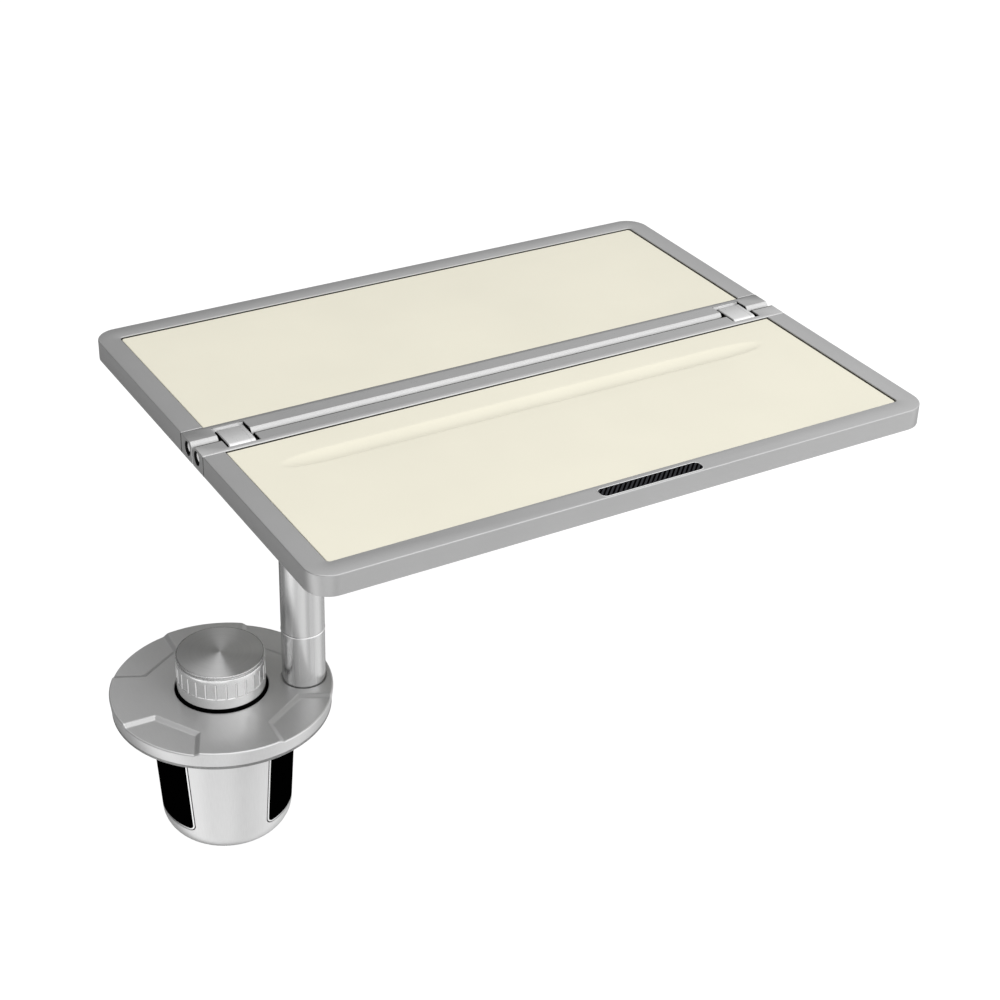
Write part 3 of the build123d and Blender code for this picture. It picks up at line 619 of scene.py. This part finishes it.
def make_knob_cap():
    """The turned cap, with fine rings of tool marks on its face, its polished lip, and a dark ring painted as shade
    between them.
    """
    top = knob_high.z
    low = top - CAP_THICKNESS
    seat = low + 0.2 * MM
    edge = top - CAP_FALL
    inner = CAP_RADIUS - CAP_LIP
    middle_radius, tool_mark, count = 0.05 * MM, 0.0012 * MM, 256
    face = [(middle_radius, seat), (inner - 0.16 * MM, seat), (inner - 0.16 * MM, edge - 0.02 * MM)]
    for i, r in enumerate(np.linspace(inner - 0.18 * MM, 0.25 * MM, 150)):
        face.append((r, top - CAP_FALL * r / CAP_RADIUS + tool_mark * (1 if i % 2 else -1)))
    face.append((middle_radius, top))
    turned_profile(
        "knob_top", face, count, knob_face, "knob", "knob_metal", closed=False, replaces=["knob_cap"], sharp=40,
    )
    groove = low - CAP_GROOVE
    hub, hub_low = 18.0 * MM, groove - 3.0 * MM
    lip = [(1.0 * MM, hub_low), (hub, hub_low), (hub, groove), (CAP_RADIUS - CAP_GROOVE, groove)]
    lip += [(CAP_RADIUS - CAP_GROOVE, low), (CAP_RADIUS - 0.12 * MM, low), (CAP_RADIUS, low + 0.12 * MM)]
    lip += arc((CAP_RADIUS - 0.40 * MM, edge - 0.38 * MM), 0.40 * MM, 0, 86, 8)
    lip += [(inner, edge), (inner, seat), (1.0 * MM, seat)]
    turned_profile("knob_lip", lip, count, knob_silver, "knob", "knob_metal", sharp=45)
    # Dark ring painted as shade in the gap between the face and the lip
    line = rectangle(inner - 0.15 * MM, inner - 0.01 * MM, low + 0.25 * MM, edge - 0.12 * MM)
    turned_profile("knob_cap_shade_line", line, count, painted_shade_black, "knob", "knob_metal")


make_knob_ring()
make_knob_cap()

# Panels: near one with its pen groove, both with a narrow gap to the frame
PANEL_GAP = 0.5 * MM
PANEL_EDGE = 0.35 * MM
PANEL_CORNER = 1.9 * MM
GROOVE_HALF = 146.0 * MM
GROOVE_WIDTH = 13.0 * MM
GROOVE_DEPTH = 1.6 * MM
GROOVE_TAPER = 30.0 * MM
GROOVE_SHIFT = -2.0 * MM
GROOVE_FROM_HINGE = 38.3 * MM


def groove_depth(x, y):
    """Depth of the pen groove: a round trough that narrows to a point at both ends."""
    from_end = GROOVE_HALF - np.abs(x)
    share = np.clip(from_end / GROOVE_TAPER, 0, 1)
    deep = GROOVE_DEPTH * np.sqrt(np.clip(1 - (1 - share) ** 2, 0, 1)) ** 1.35
    bow = (GROOVE_WIDTH**2 / 4 - GROOVE_DEPTH**2) / (2 * GROOVE_DEPTH)
    trough = np.sqrt(np.clip((bow + GROOVE_DEPTH) ** 2 - y * y, 0, None)) - bow - (GROOVE_DEPTH - deep)
    soften = 0.10 * MM
    return 0.5 * (trough + np.sqrt(trough * trough + soften * soften)) * (from_end > -2 * MM)


def make_panel(name, node, side, body, grooved):
    """Panel as a fine grid; side is 1 for the far leaf and -1 for the near one."""
    low, high = (Vector(corner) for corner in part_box(node))
    center, half = (low.x + high.x) / 2, (high.x - low.x) / 2 - PANEL_GAP
    inner, outer = (low.y, high.y) if side > 0 else (high.y, low.y)
    depth = abs(outer - inner) - 2 * PANEL_GAP
    start = inner + side * PANEL_GAP
    border = [PANEL_EDGE * (1 - cos(pi / 2 * i / 4)) for i in range(5)]
    border += list(np.linspace(PANEL_EDGE, PANEL_CORNER, 5))[1:]
    rows, first, last = border[:], 8 * MM, depth - 4 * MM
    if grooved:
        groove = GROOVE_FROM_HINGE - abs(start - tray_middle.y)
        groove_start, groove_end = groove - GROOVE_WIDTH / 2, groove + GROOVE_WIDTH / 2
        rows += list(np.linspace(first, groove_start - 0.6 * MM, 4))
        rows += list(np.linspace(groove_start, groove_end, 40))
        rows += list(np.linspace(groove_end + 0.6 * MM, last, 8))
    else:
        rows += list(np.linspace(first, last, 6))
    rows += [depth - v for v in reversed(border)]
    across = np.concatenate([
        [-half + v for v in border[:-1]],
        np.linspace(-half + PANEL_CORNER, half - PANEL_CORNER, 240 if grooved else 12),
        [half - v for v in reversed(border[:-1])],
    ])
    points = []
    for v in rows:
        tail = max(0.0, v - (depth - PANEL_CORNER))
        reach = half - PANEL_CORNER + sqrt(max(0.0, PANEL_CORNER**2 - tail**2))
        x = across * reach / half
        edge = np.minimum(np.minimum(v, depth - v), half - np.abs(across))
        fall = PANEL_EDGE - np.sqrt(np.clip(PANEL_EDGE**2 - np.clip(PANEL_EDGE - edge, 0, None) ** 2, 0, None))
        y = start + side * v
        z = high.z - fall
        if grooved:
            z = z - groove_depth(x - GROOVE_SHIFT, np.full_like(x, abs(y - tray_middle.y) - GROOVE_FROM_HINGE))
        points.append(np.stack([x + center, np.full_like(x, y), z], -1))
    put_sheet(name, points, low.z, panel_cream, body, "panel_cream", [node], sharp=60)


make_panel("near_panel_face", "near_panel", -1, "near_leaf", grooved=True)
make_panel("far_panel_face", "far_panel", 1, "far_leaf", grooved=False)

# Tray in leaf coordinates: X along the hinge, Y out from the hinge line, Z down from the top, in mm
HALF_WIDTH = 180.3
LEAF_DEPTH = 140.5
LEAF_THICKNESS = 11.6
LEAF_CORNER = 13.0
OPEN_HALF = 168.3
OPEN_FAR = 128.5
OPEN_CORNER = 2.0
LEDGE = 4.0
SEAT = 3.8
BACK_SEAT = 10.1
RAIL_DEPTH = 13.8
FOLD_GAP = 0.6
PIVOT_Y = 5.8
PIVOT_Z = -4.7
PIVOT_INSET = 5.5
BORE_WIDE = 3.5
BORE_TALL = 4.1
BORE_Z = -5.1
BORE_DEPTH = 8.0
LINK_FROM_END = 24.0
LINK_WIDTH = 15.0
LINK_REACH = 4.85
LINK_HALF = 4.5
POCKET_WIDTH = 18.2
POCKET_INNER = HALF_WIDTH - LINK_FROM_END - POCKET_WIDTH / 2
POCKET_OUTER = POCKET_INNER + POCKET_WIDTH
POCKET_FAR = 10.8
POCKET_FLOOR = -9.6
RAIL_FLAT = PIVOT_Y - sqrt(PIVOT_INSET**2 - PIVOT_Z**2)
RAIL_LIP = 0.46
RAIL_FOOT = 0.4
ENDS = ((-1, "left"), (1, "right"))
SEAM = 0.2
SEAM_GAP = 0.3
HINGE = Vector((tray_middle.x, tray_middle.y, tray_high.z))


def to_world(points, side):
    """Leaf coordinates in mm to the row's metres; side is 1 for the far leaf and -1 for the near one."""
    return np.asarray(points, float).reshape(-1, 3) * (MM, side * MM, MM) + np.array(HINGE)


def leaf_path(half, far, corner, near, steps=16):
    """Three sides of a leaf with two rounded corners, from the hinge round to the hinge."""
    left = arc((-half + corner, far - corner), corner, 180, 90, steps)
    right = [(-x, y) for x, y in reversed(left)]
    return [(-half, near)] + left + right + [(half, near)]


def make_frame(name, node, side, body, cutter=None):
    """Three-sided frame of a leaf, with softened edges and a fine seam where it meets the rail."""
    r_top, r_low, r_lip = 0.6, 0.4, 0.4
    loops = []
    for t in np.radians(np.linspace(-90, 0, 4)):
        loops.append(("outer", r_low - r_low * cos(t), -LEAF_THICKNESS + r_low + r_low * sin(t)))
    for t in np.radians(np.linspace(0, 90, 6)):
        loops.append(("outer", r_top - r_top * cos(t), -r_top + r_top * sin(t)))
    for t in np.radians(np.linspace(90, 0, 5)):
        loops.append(("open", r_lip - r_lip * cos(t), -r_lip + r_lip * sin(t)))
    loops += [("open", 0, -SEAT), ("core", 0, -SEAT), ("core", 0, -BACK_SEAT)]
    loops += [("open", 0, -BACK_SEAT), ("open", 0, -LEAF_THICKNESS)]

    def ring(inset, near):
        rows = []
        for kind, off, z in loops:
            z = min(max(z, -LEAF_THICKNESS + inset), -inset)
            if kind == "outer":
                d = max(off, inset)
                path = leaf_path(HALF_WIDTH - d, LEAF_DEPTH - d, LEAF_CORNER - d, near)
            elif kind == "open":
                path = leaf_path(OPEN_HALF + off, OPEN_FAR + off, OPEN_CORNER + off, near)
            else:
                path = leaf_path(OPEN_HALF - LEDGE, OPEN_FAR - LEDGE, OPEN_CORNER, near)
            rows.append([(x, y, z) for x, y in path])
        return rows

    near = RAIL_DEPTH + SEAM_GAP
    full, small = ring(0, near + SEAM), ring(SEAM, near)
    rows = [[s[0]] + f + [s[-1]] for s, f in zip(small, full)]
    count, wide = len(rows), len(rows[0])
    points = to_world(rows, side)
    faces = grid_faces(count, wide, round_rows=True)
    faces.append(tuple(i * wide for i in range(count)))
    faces.append(tuple(i * wide + wide - 1 for i in range(count)))
    border = put_mesh(name, points, faces, frame_silver, body, "frame_silver", [node], sharp=24)
    if cutter:
        cut_out(border, cutter)
        finish_piece(border, frame_silver, body, sharp=24)


def make_gap_shade(name, side, body):
    """Thin dark ring painted as shade in the gap round a panel, against the walls of its opening."""
    loops = []
    top, foot = -0.5, -SEAT + 0.05
    for inset, z in ((0.01, top), (0.17, top), (0.17, foot), (0.01, foot)):
        path = leaf_path(OPEN_HALF - inset, OPEN_FAR - inset, OPEN_CORNER - inset, RAIL_DEPTH + inset)
        loops.append([(x, y, z) for x, y in path])
    faces = grid_faces(4, len(path), round_columns=True, round_rows=True)
    put_mesh(name, to_world(loops, side), faces, painted_shade_olive, body, "bush_plastic")


def prism(name, outline, low, high):
    """Upright prism from an outline in metres, used as a cutter."""
    points = [(x, y, z) for z in (low, high) for x, y in outline]
    return new_cutter(name, points, prism_faces(len(outline)))


def bar_points(section, left, right):
    """Both ends of a bar along the hinge, from its section of (y, z) in mm."""
    return [(x, y, z) for x in (left, right) for y, z in section]


def bar(name, section, left, right, side):
    """Bar along the hinge, used as a cutter."""
    return new_cutter(name, to_world(bar_points(section, left, right), side), prism_faces(len(section)))


def join_bars(name, bars, side, look, body, slot):
    """Several bars along the hinge as one piece."""
    points, faces = [], []
    for section, left, right in bars:
        faces += prism_faces(len(section), len(points))
        points += bar_points(section, left, right)
    put_mesh(name, to_world(points, side), faces, look, body, slot)


def span_at(end, inner, outer):
    """Left and right of a span along the hinge; end is -1 at its left and 1 at its right."""
    return sorted((end * inner, end * outer))


def rail_section(inset=0.0):
    """Section of a hinge rail, its folding edge round about the pin."""
    start = degrees(atan2(-PIVOT_Z, RAIL_FLAT - PIVOT_Y))
    curve = arc((PIVOT_Y, PIVOT_Z), PIVOT_INSET - inset, 180, start, 14)
    low, back, fold = inset - LEAF_THICKNESS, RAIL_DEPTH - inset, FOLD_GAP / 2 + inset
    lip = [(RAIL_DEPTH - RAIL_LIP, 0), (RAIL_DEPTH - RAIL_LIP + 0.05, -0.021)]
    lip += [(back - 0.021, 0.05 - RAIL_LIP), (back, -RAIL_LIP)]
    section = [(y, min(z, -inset)) for y, z in curve] + [(y, z - inset) for y, z in lip]
    return section + [(back, low), (fold + RAIL_FOOT, low), (fold, low + RAIL_FOOT)]


def make_rail(name, node, side, body):
    """Hinge rail with its pockets for the links and the bores in its ends."""
    full, small = rail_section(), rail_section(SEAM)
    stations = [(-HALF_WIDTH, small), (SEAM - HALF_WIDTH, full), (HALF_WIDTH - SEAM, full), (HALF_WIDTH, small)]
    points = to_world([[(x, y, z) for y, z in section] for x, section in stations], side)
    faces = grid_faces(len(stations), len(full), round_columns=True, capped=True)
    rail = put_mesh(name, points, faces, rail_silver, body, "rail_silver", [node], sharp=24)
    turns = np.radians(np.arange(0, 360, 10))
    bore = [(PIVOT_Y + BORE_WIDE * cos(t), BORE_Z + BORE_TALL * sin(t)) for t in turns]
    for end in (-1, 1):
        pocket = rectangle(-1, POCKET_FAR, POCKET_FLOOR, 1)
        cut_out(rail, bar("pocket", pocket, *span_at(end, POCKET_INNER, POCKET_OUTER), side))
        cut_out(rail, bar("bore", bore, *span_at(end, HALF_WIDTH - BORE_DEPTH, HALF_WIDTH + 1), side))
    finish_piece(rail, rail_silver, body, sharp=24)
    # Black strips in the seams at the rail's ends: painted shade in the gaps
    reach, proud = 11.5, 0.02
    seam = rectangle(RAIL_DEPTH - 0.1, RAIL_DEPTH + SEAM_GAP + 0.25, 0.2 - LEAF_THICKNESS, -0.5)
    lines = [(seam, *span_at(end, HALF_WIDTH - reach, HALF_WIDTH + proud)) for end in (-1, 1)]
    join_bars(name + "_seam_shade", lines, side, painted_shade_black, body, "bush_plastic")
    for end, label in ENDS:
        shade_pocket(name, label, end, side, body)
        make_bore_shade(name + "_bore_" + label, end, side, body)


def shade_pocket(name, label, end, side, body):
    """Black linings painted as shade on the walls and the floor of a link's pocket, and a near-white end wall
    painted as lit.
    """
    left, right = span_at(end, POCKET_INNER, POCKET_OUTER)
    gap, thick, reach = 0.02, 0.12, 5.2
    start, back, low = 0.6, POCKET_FAR - 0.05, POCKET_FLOOR + 0.05
    wall = arc((PIVOT_Y, PIVOT_Z), reach, 180, 128, 8) + [(back, -0.6), (back, low), (start, low)]
    floor = rectangle(start, back, POCKET_FLOOR + 0.01, POCKET_FLOOR + 0.04)
    lining = [(wall, left + gap, left + gap + thick), (wall, right - gap - thick, right - gap)]
    lining.append((floor, left + gap, right - gap))
    join_bars(name + "_pocket_shade_" + label, lining, side, painted_shade_black, body, "bush_plastic")
    stop = (rectangle(POCKET_FAR - thick, POCKET_FAR - gap, POCKET_FLOOR + 3, -0.45), left + 0.3, right - 0.3)
    join_bars(name + "_lit_wall_" + label, [stop], side, painted_light_silver, body, "rail_silver")


def make_channel_shade_line():
    """Fine dark line painted as shade along the folding edge of the near rail, open at the links."""
    width, proud, edge = 0.5, 0.015, HALF_WIDTH - 0.3
    section = [(RAIL_FLAT, proud), (RAIL_FLAT + width, proud), (RAIL_FLAT + width, -0.1), (RAIL_FLAT + 0.03, -0.1)]
    spans = ((-edge, -POCKET_OUTER), (-POCKET_INNER, POCKET_INNER), (POCKET_OUTER, edge))
    lines = [(section, left, right) for left, right in spans]
    join_bars("near_rail_shade_line", lines, -1, painted_shade_olive, "near_leaf", "bush_plastic")


def make_bore_shade(name, end, side, body):
    """Dark sleeve painted as shade in a rail's end bore."""
    turns = circle(48)
    mouth, bottom = HALF_WIDTH - 0.15, HALF_WIDTH - 7.6
    rows = [
        [(end * x, PIVOT_Y + (BORE_WIDE - inset) * cos(t), BORE_Z + (BORE_TALL - inset) * sin(t)) for t in turns]
        for inset, x in ((0.02, mouth), (0.25, mouth), (0.25, bottom), (0.02, bottom))
    ]
    faces = grid_faces(len(rows), len(turns), round_columns=True, round_rows=True)
    put_mesh(name, to_world(rows, side), faces, bore_shade_black, body, "bush_plastic")


def link_section():
    """Section of a hinge link: flat top, ends round about the pins."""
    flat, top = sqrt(LINK_REACH**2 - LINK_HALF**2), PIVOT_Z + LINK_HALF
    corner, taper, steps = 0.45, 0.07, 12
    start = degrees(atan2(LINK_HALF - corner * 0.55, flat + corner * 0.75))
    right = [(PIVOT_Y + flat - corner, top), (PIVOT_Y + flat - corner * 0.35, top - 0.05)]
    right += arc((PIVOT_Y, PIVOT_Z), LINK_REACH, start, 0, 10)
    for i, t in enumerate(np.radians(np.linspace(-7, -90, steps))):
        right.append((PIVOT_Y + LINK_REACH * cos(t) * (1 - taper * i / steps), PIVOT_Z + LINK_HALF * sin(t)))
    return right + [(-y, z) for y, z in reversed(right)]


def make_link(name, node, end):
    """Hinge link with a fine line near one edge, and black sheets on its sides painted as shade."""
    section = link_section()
    center = end * (HALF_WIDTH - LINK_FROM_END)
    left, right = center - LINK_WIDTH / 2, center + LINK_WIDTH / 2
    edge, line, line_depth = 0.4, right - 2.6, 0.09
    stations = [(left, edge), (left + edge, 0), (line - 0.12, 0), (line - 0.04, line_depth)]
    stations += [(line + 0.04, line_depth), (line + 0.12, 0), (right - edge, 0), (right, edge)]
    rows = []
    for x, inset in stations:
        deep, tall = 1 - inset / (PIVOT_Y + LINK_REACH), 1 - inset / LINK_HALF
        rows.append([(x, y * deep, PIVOT_Z + (z - PIVOT_Z) * tall) for y, z in section])
    faces = grid_faces(len(rows), len(section), round_columns=True, capped=True)
    put_mesh(name, to_world(rows, 1), faces, link_steel, "hinge_links", "link_steel", [node], sharp=30)
    # Black sheets just outside the link's sides: painted shade
    shade = [(y * 0.965, PIVOT_Z + (z - PIVOT_Z) * 0.90 - 0.05) for y, z in section]
    sink, proud = 0.02, 0.06
    sides = [(shade, left - proud, left + sink), (shade, right - sink, right + proud)]
    join_bars(name + "_side_shade", sides, 1, painted_shade_black, "hinge_links", "bush_plastic")


# Inlay in the front border: place in the row and size
STRIP_X = 200.0 * MM
STRIP_Y = tray_low.y + 5.2 * MM
STRIP_HALF = (30.0 * MM, 3.6 * MM)
STRIP_CORNER = 2.7 * MM


def strip_outline(grow=0.0, steps=7):
    """Outline of the inlay as rounded rectangle."""
    a, b = STRIP_HALF[0] + grow, STRIP_HALF[1] + grow
    r = STRIP_CORNER + grow
    points = []
    for cx, cy, start in ((a - r, b - r, 0), (r - a, b - r, 90), (r - a, r - b, 180), (a - r, r - b, 270)):
        points += arc((STRIP_X + cx, STRIP_Y + cy), r, start, start + 90, steps)
    return points


TOW = 0.72 * MM
TOW_RISE = 0.05 * MM
WEAVE_DROP = 0.12 * MM
twill = woven("twill", (STRIP_X, STRIP_Y, 0), TOW)


def make_strip():
    """The inlay: tows woven two over and two under, and the fine lip round them."""
    low, high = (Vector(corner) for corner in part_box("grip_strip"))
    a, b, r = *STRIP_HALF, STRIP_CORNER
    rows, columns = 61, 481
    points = []
    for y in np.linspace(-b, b, rows):
        tail = max(0.0, abs(y) - (b - r))
        x = np.linspace(-1, 1, columns) * (a - r + sqrt(max(0.0, r * r - tail * tail)))
        column, row = np.floor(x / TOW), np.floor(y / TOW)
        over = (column - row) % 4 < 2
        warp = np.sin(pi * (x / TOW - column))
        weft = np.sin(pi * (y / TOW - row))
        lift = np.where(over, 0.35 + 0.65 * warp, 0.35 + 0.65 * weft)
        z = high.z - WEAVE_DROP - TOW_RISE + TOW_RISE * lift
        points.append(np.stack([x + STRIP_X, np.full_like(x, y + STRIP_Y), z], -1))
    put_sheet("strip_weave", points, low.z, twill, "near_leaf", "strip_black", ["grip_strip"])
    lip = [(0.0, -0.5), (0.0, -0.06), (0.10, 0.04), (0.28, 0.08), (0.46, 0.04), (0.56, -0.06), (0.56, -0.3)]
    loops = [[(x, y, tray_high.z + up * MM) for x, y in strip_outline(grow * MM)] for grow, up in lip]
    faces = grid_faces(len(loops), len(loops[0]), round_columns=True, round_rows=True)
    points = np.reshape(loops, (-1, 3))
    put_mesh("strip_lip", points, faces, rim_silver, "near_leaf", "frame_silver", sharp=80)


slot_cutter = prism("slot", strip_outline(0.3 * MM), tray_high.z - 1.4 * MM, tray_high.z + 1.0 * MM)
make_frame("near_border", "near_frame", -1, "near_leaf", slot_cutter)
make_frame("far_border", "far_frame", 1, "far_leaf")
make_gap_shade("near_gap_shade", -1, "near_leaf")
make_gap_shade("far_gap_shade", 1, "far_leaf")
make_rail("near_hinge_rail", "near_rail", -1, "near_leaf")
make_channel_shade_line()
make_rail("far_hinge_rail", "far_rail", 1, "far_leaf")
make_link("left_link", "hinge_link_left", -1)
make_link("right_link", "hinge_link_right", 1)
make_strip()


def make_pin_heads():
    """Pin ends a little inside the end bores of the rails, near-white and mostly matt: partly real pins, partly
    painted light.
    """
    turns = circle(40)
    profile = [(0.05, 1.0), (2.0, 1.0), (2.3, 1.1), (2.5, 1.4), (2.5, 7.0), (0.05, 7.0)]
    faces = grid_faces(len(profile), len(turns), round_columns=True, capped=True)
    for side, body, leaf in ((-1, "near_leaf", "near"), (1, "far_leaf", "far")):
        for end, label in ENDS:
            rows = [
                [(end * (HALF_WIDTH - deep), PIVOT_Y + r * cos(t), PIVOT_Z + r * sin(t)) for t in turns]
                for r, deep in profile
            ]
            put_mesh(leaf + "_pin_end_" + label, to_world(rows, side), faces, painted_light_silver, body, "steel_plain")


make_pin_heads()

# Bright edge at the seam of the post
seam = np.array([(10.2, -0.8), (10.95, -0.8), (11.16, -0.72), (11.16, -0.50), (10.86, -0.02), (10.2, -0.02)]) * MM
turned_profile("post_seam", seam + (0, post_low.z), 128, bright_steel, "base", "post_steel", post_middle)


def stage_floor():
    """Pale floor that shows white to the camera and keeps a soft shadow."""
    bpy.ops.mesh.primitive_plane_add(size=16, location=(0.15, 0.0, -0.0002))
    plane = bpy.context.object
    plane.name = "floor"
    plane.visible_glossy = False
    shade = Shade("floor_white")
    tree = shade.tree
    path = shade.add("LightPath")
    seen = shade.math("MAXIMUM", path.outputs["Is Camera Ray"], path.outputs["Is Glossy Ray"])
    seen = shade.math("MAXIMUM", seen, path.outputs["Is Transmission Ray"])
    matte = shade.add("BsdfDiffuse", (0.84, 0.84, 0.84, 1))
    glow = shade.add("Emission", (1, 1, 1, 1), 1.2)
    blend = shade.add("MixShader", shade.math("MULTIPLY", seen, 0.78), matte.outputs[0], glow.outputs[0])
    tree.links.new(blend.outputs[0], tree.nodes["Material Output"].inputs[0])
    plane.data.materials.append(shade.material)


# Levels of the mirrored studio by the cosine of the angle from a direction; a card has azimuth, level and edge
STUDIO_FRONT = 255
STUDIO_LOW = [
    (-1.0, 0.12), (-0.9, 0.14), (-0.75, 0.26), (-0.55, 0.22), (-0.35, 0.20), (-0.15, 0.42), (0.0, 0.62),
    (0.15, 0.84), (0.3, 0.96), (0.45, 0.95), (0.58, 0.86), (0.69, 0.70), (0.84, 0.84), (1.0, 0.98),
]
STUDIO_SIDE = (10, 0.34, 0.70)
STUDIO_LEFT = (180, 0.30, 0.75)
STUDIO_BAND = (273, 0.30, 0.965)
STUDIO_KEY = (0.50, -0.45, 0.74)
STUDIO_TOP = (0.03, 0.10, 0.9945)
STUDIO_TOP_EDGE = 0.955
STUDIO_TOP_LEVEL = 1.5
STUDIO_HIGH = [
    (-0.3, 0.10), (0.0, 0.16), (0.13, 0.26), (0.20, 0.48), (0.28, 0.66), (0.40, 0.88),
    (0.66, 1.0), (0.78, 1.15), (0.88, 1.35), (1.0, 1.75),
]


def studio_world():
    """Even pale light, and a soft studio for the metal to mirror."""
    world = bpy.data.worlds.new("studio")
    bpy.context.scene.world = world
    world.use_nodes = True
    shade = Shade.__new__(Shade)
    shade.tree = world.node_tree
    backdrop = shade.tree.nodes["Background"]
    way = shade.add("TexCoord").outputs["Generated"]
    up = shade.add("SeparateXYZ", way).outputs[2]

    def facing(direction, gaze=way):
        return shade.add("VectorMath", gaze, direction, operation="DOT_PRODUCT").outputs[1]

    level = shade.span(up, 0.0, 1.0, -0.10, 0.12, smooth=True)
    flat = shade.add("VectorMath", way, (1, 1, 0), operation="MULTIPLY").outputs[0]
    round_about = shade.add("VectorMath", flat, operation="NORMALIZE").outputs[0]

    def towards(azimuth):
        return facing((cos(radians(azimuth)), sin(radians(azimuth)), 0.0), round_about)

    def card(azimuth, light, edge):
        return shade.span(towards(azimuth), 0.0, light, edge, 1.0, smooth=True)

    cards = shade.math("ADD", card(*STUDIO_SIDE), card(*STUDIO_LEFT))
    cards = shade.math("SUBTRACT", cards, card(*STUDIO_BAND))
    low = shade.ramp(towards(STUDIO_FRONT), STUDIO_LOW)
    low = shade.add("VectorMath", low, cards, operation="ADD").outputs[0]
    high = shade.ramp(facing(STUDIO_KEY), STUDIO_HIGH)
    overhead = shade.span(facing(STUDIO_TOP), 0.0, STUDIO_TOP_LEVEL, STUDIO_TOP_EDGE, 1.0, smooth=True)
    high = shade.add("VectorMath", high, overhead, operation="ADD").outputs[0]
    mirror = shade.mix(level, low, high)
    path = shade.add("LightPath")
    seen = shade.math("MAXIMUM", path.outputs["Is Camera Ray"], path.outputs["Is Transmission Ray"])
    light = shade.mix(path.outputs["Is Glossy Ray"], (0.58, 0.58, 0.58), mirror)
    shade.tree.links.new(shade.mix(seen, light, (1, 1, 1)), backdrop.inputs["Color"])
    backdrop.inputs["Strength"].default_value = 1.0


def studio_lamp(name, place, target, size, watts):
    """Large soft lamp that lights matt surfaces."""
    lamp = bpy.data.lights.new(name, "AREA")
    lamp.shape = "RECTANGLE"
    lamp.size, lamp.size_y = size
    lamp.energy = watts
    thing = bpy.data.objects.new(name, lamp)
    bpy.context.collection.objects.link(thing)
    thing.location = place
    thing.rotation_euler = (Vector(target) - Vector(place)).to_track_quat("-Z", "Y").to_euler()
    thing.visible_glossy = False


def studio_camera():
    """Camera at the photograph's viewing angle."""
    ahead = Vector((sin(CAMERA_YAW) * cos(CAMERA_PITCH), cos(CAMERA_YAW) * cos(CAMERA_PITCH), -sin(CAMERA_PITCH)))
    right = Vector((cos(CAMERA_YAW), -sin(CAMERA_YAW), 0))
    up = right.cross(ahead)
    side = cos(CAMERA_ROLL) * right + sin(CAMERA_ROLL) * up
    top = cos(CAMERA_ROLL) * up - sin(CAMERA_ROLL) * right
    data = bpy.data.cameras.new("camera")
    data.sensor_width = 36.0
    data.lens = CAMERA_FOCAL * data.sensor_width
    data.shift_x, data.shift_y = CAMERA_SHIFT
    data.clip_start = 0.05
    camera = bpy.data.objects.new("camera", data)
    bpy.context.collection.objects.link(camera)
    axes = Matrix((side, top, -ahead)).transposed().to_4x4()
    top_middle = Vector((tray_middle.x, tray_middle.y, tray_high.z))
    camera.matrix_world = Matrix.Translation(top_middle + Vector(CAMERA_FROM_TRAY)) @ axes
    bpy.context.scene.camera = camera


stage_floor()
studio_world()
studio_lamp("key", (0.9, -1.1, 1.7), (0.15, 0.0, 0.15), (1.2, 1.2), 20)
studio_lamp("fill", (-1.3, 0.1, 1.4), (0.1, 0.0, 0.15), (1.0, 1.4), 8)
studio_camera()
bpy.context.scene.view_settings.view_transform = "Standard"
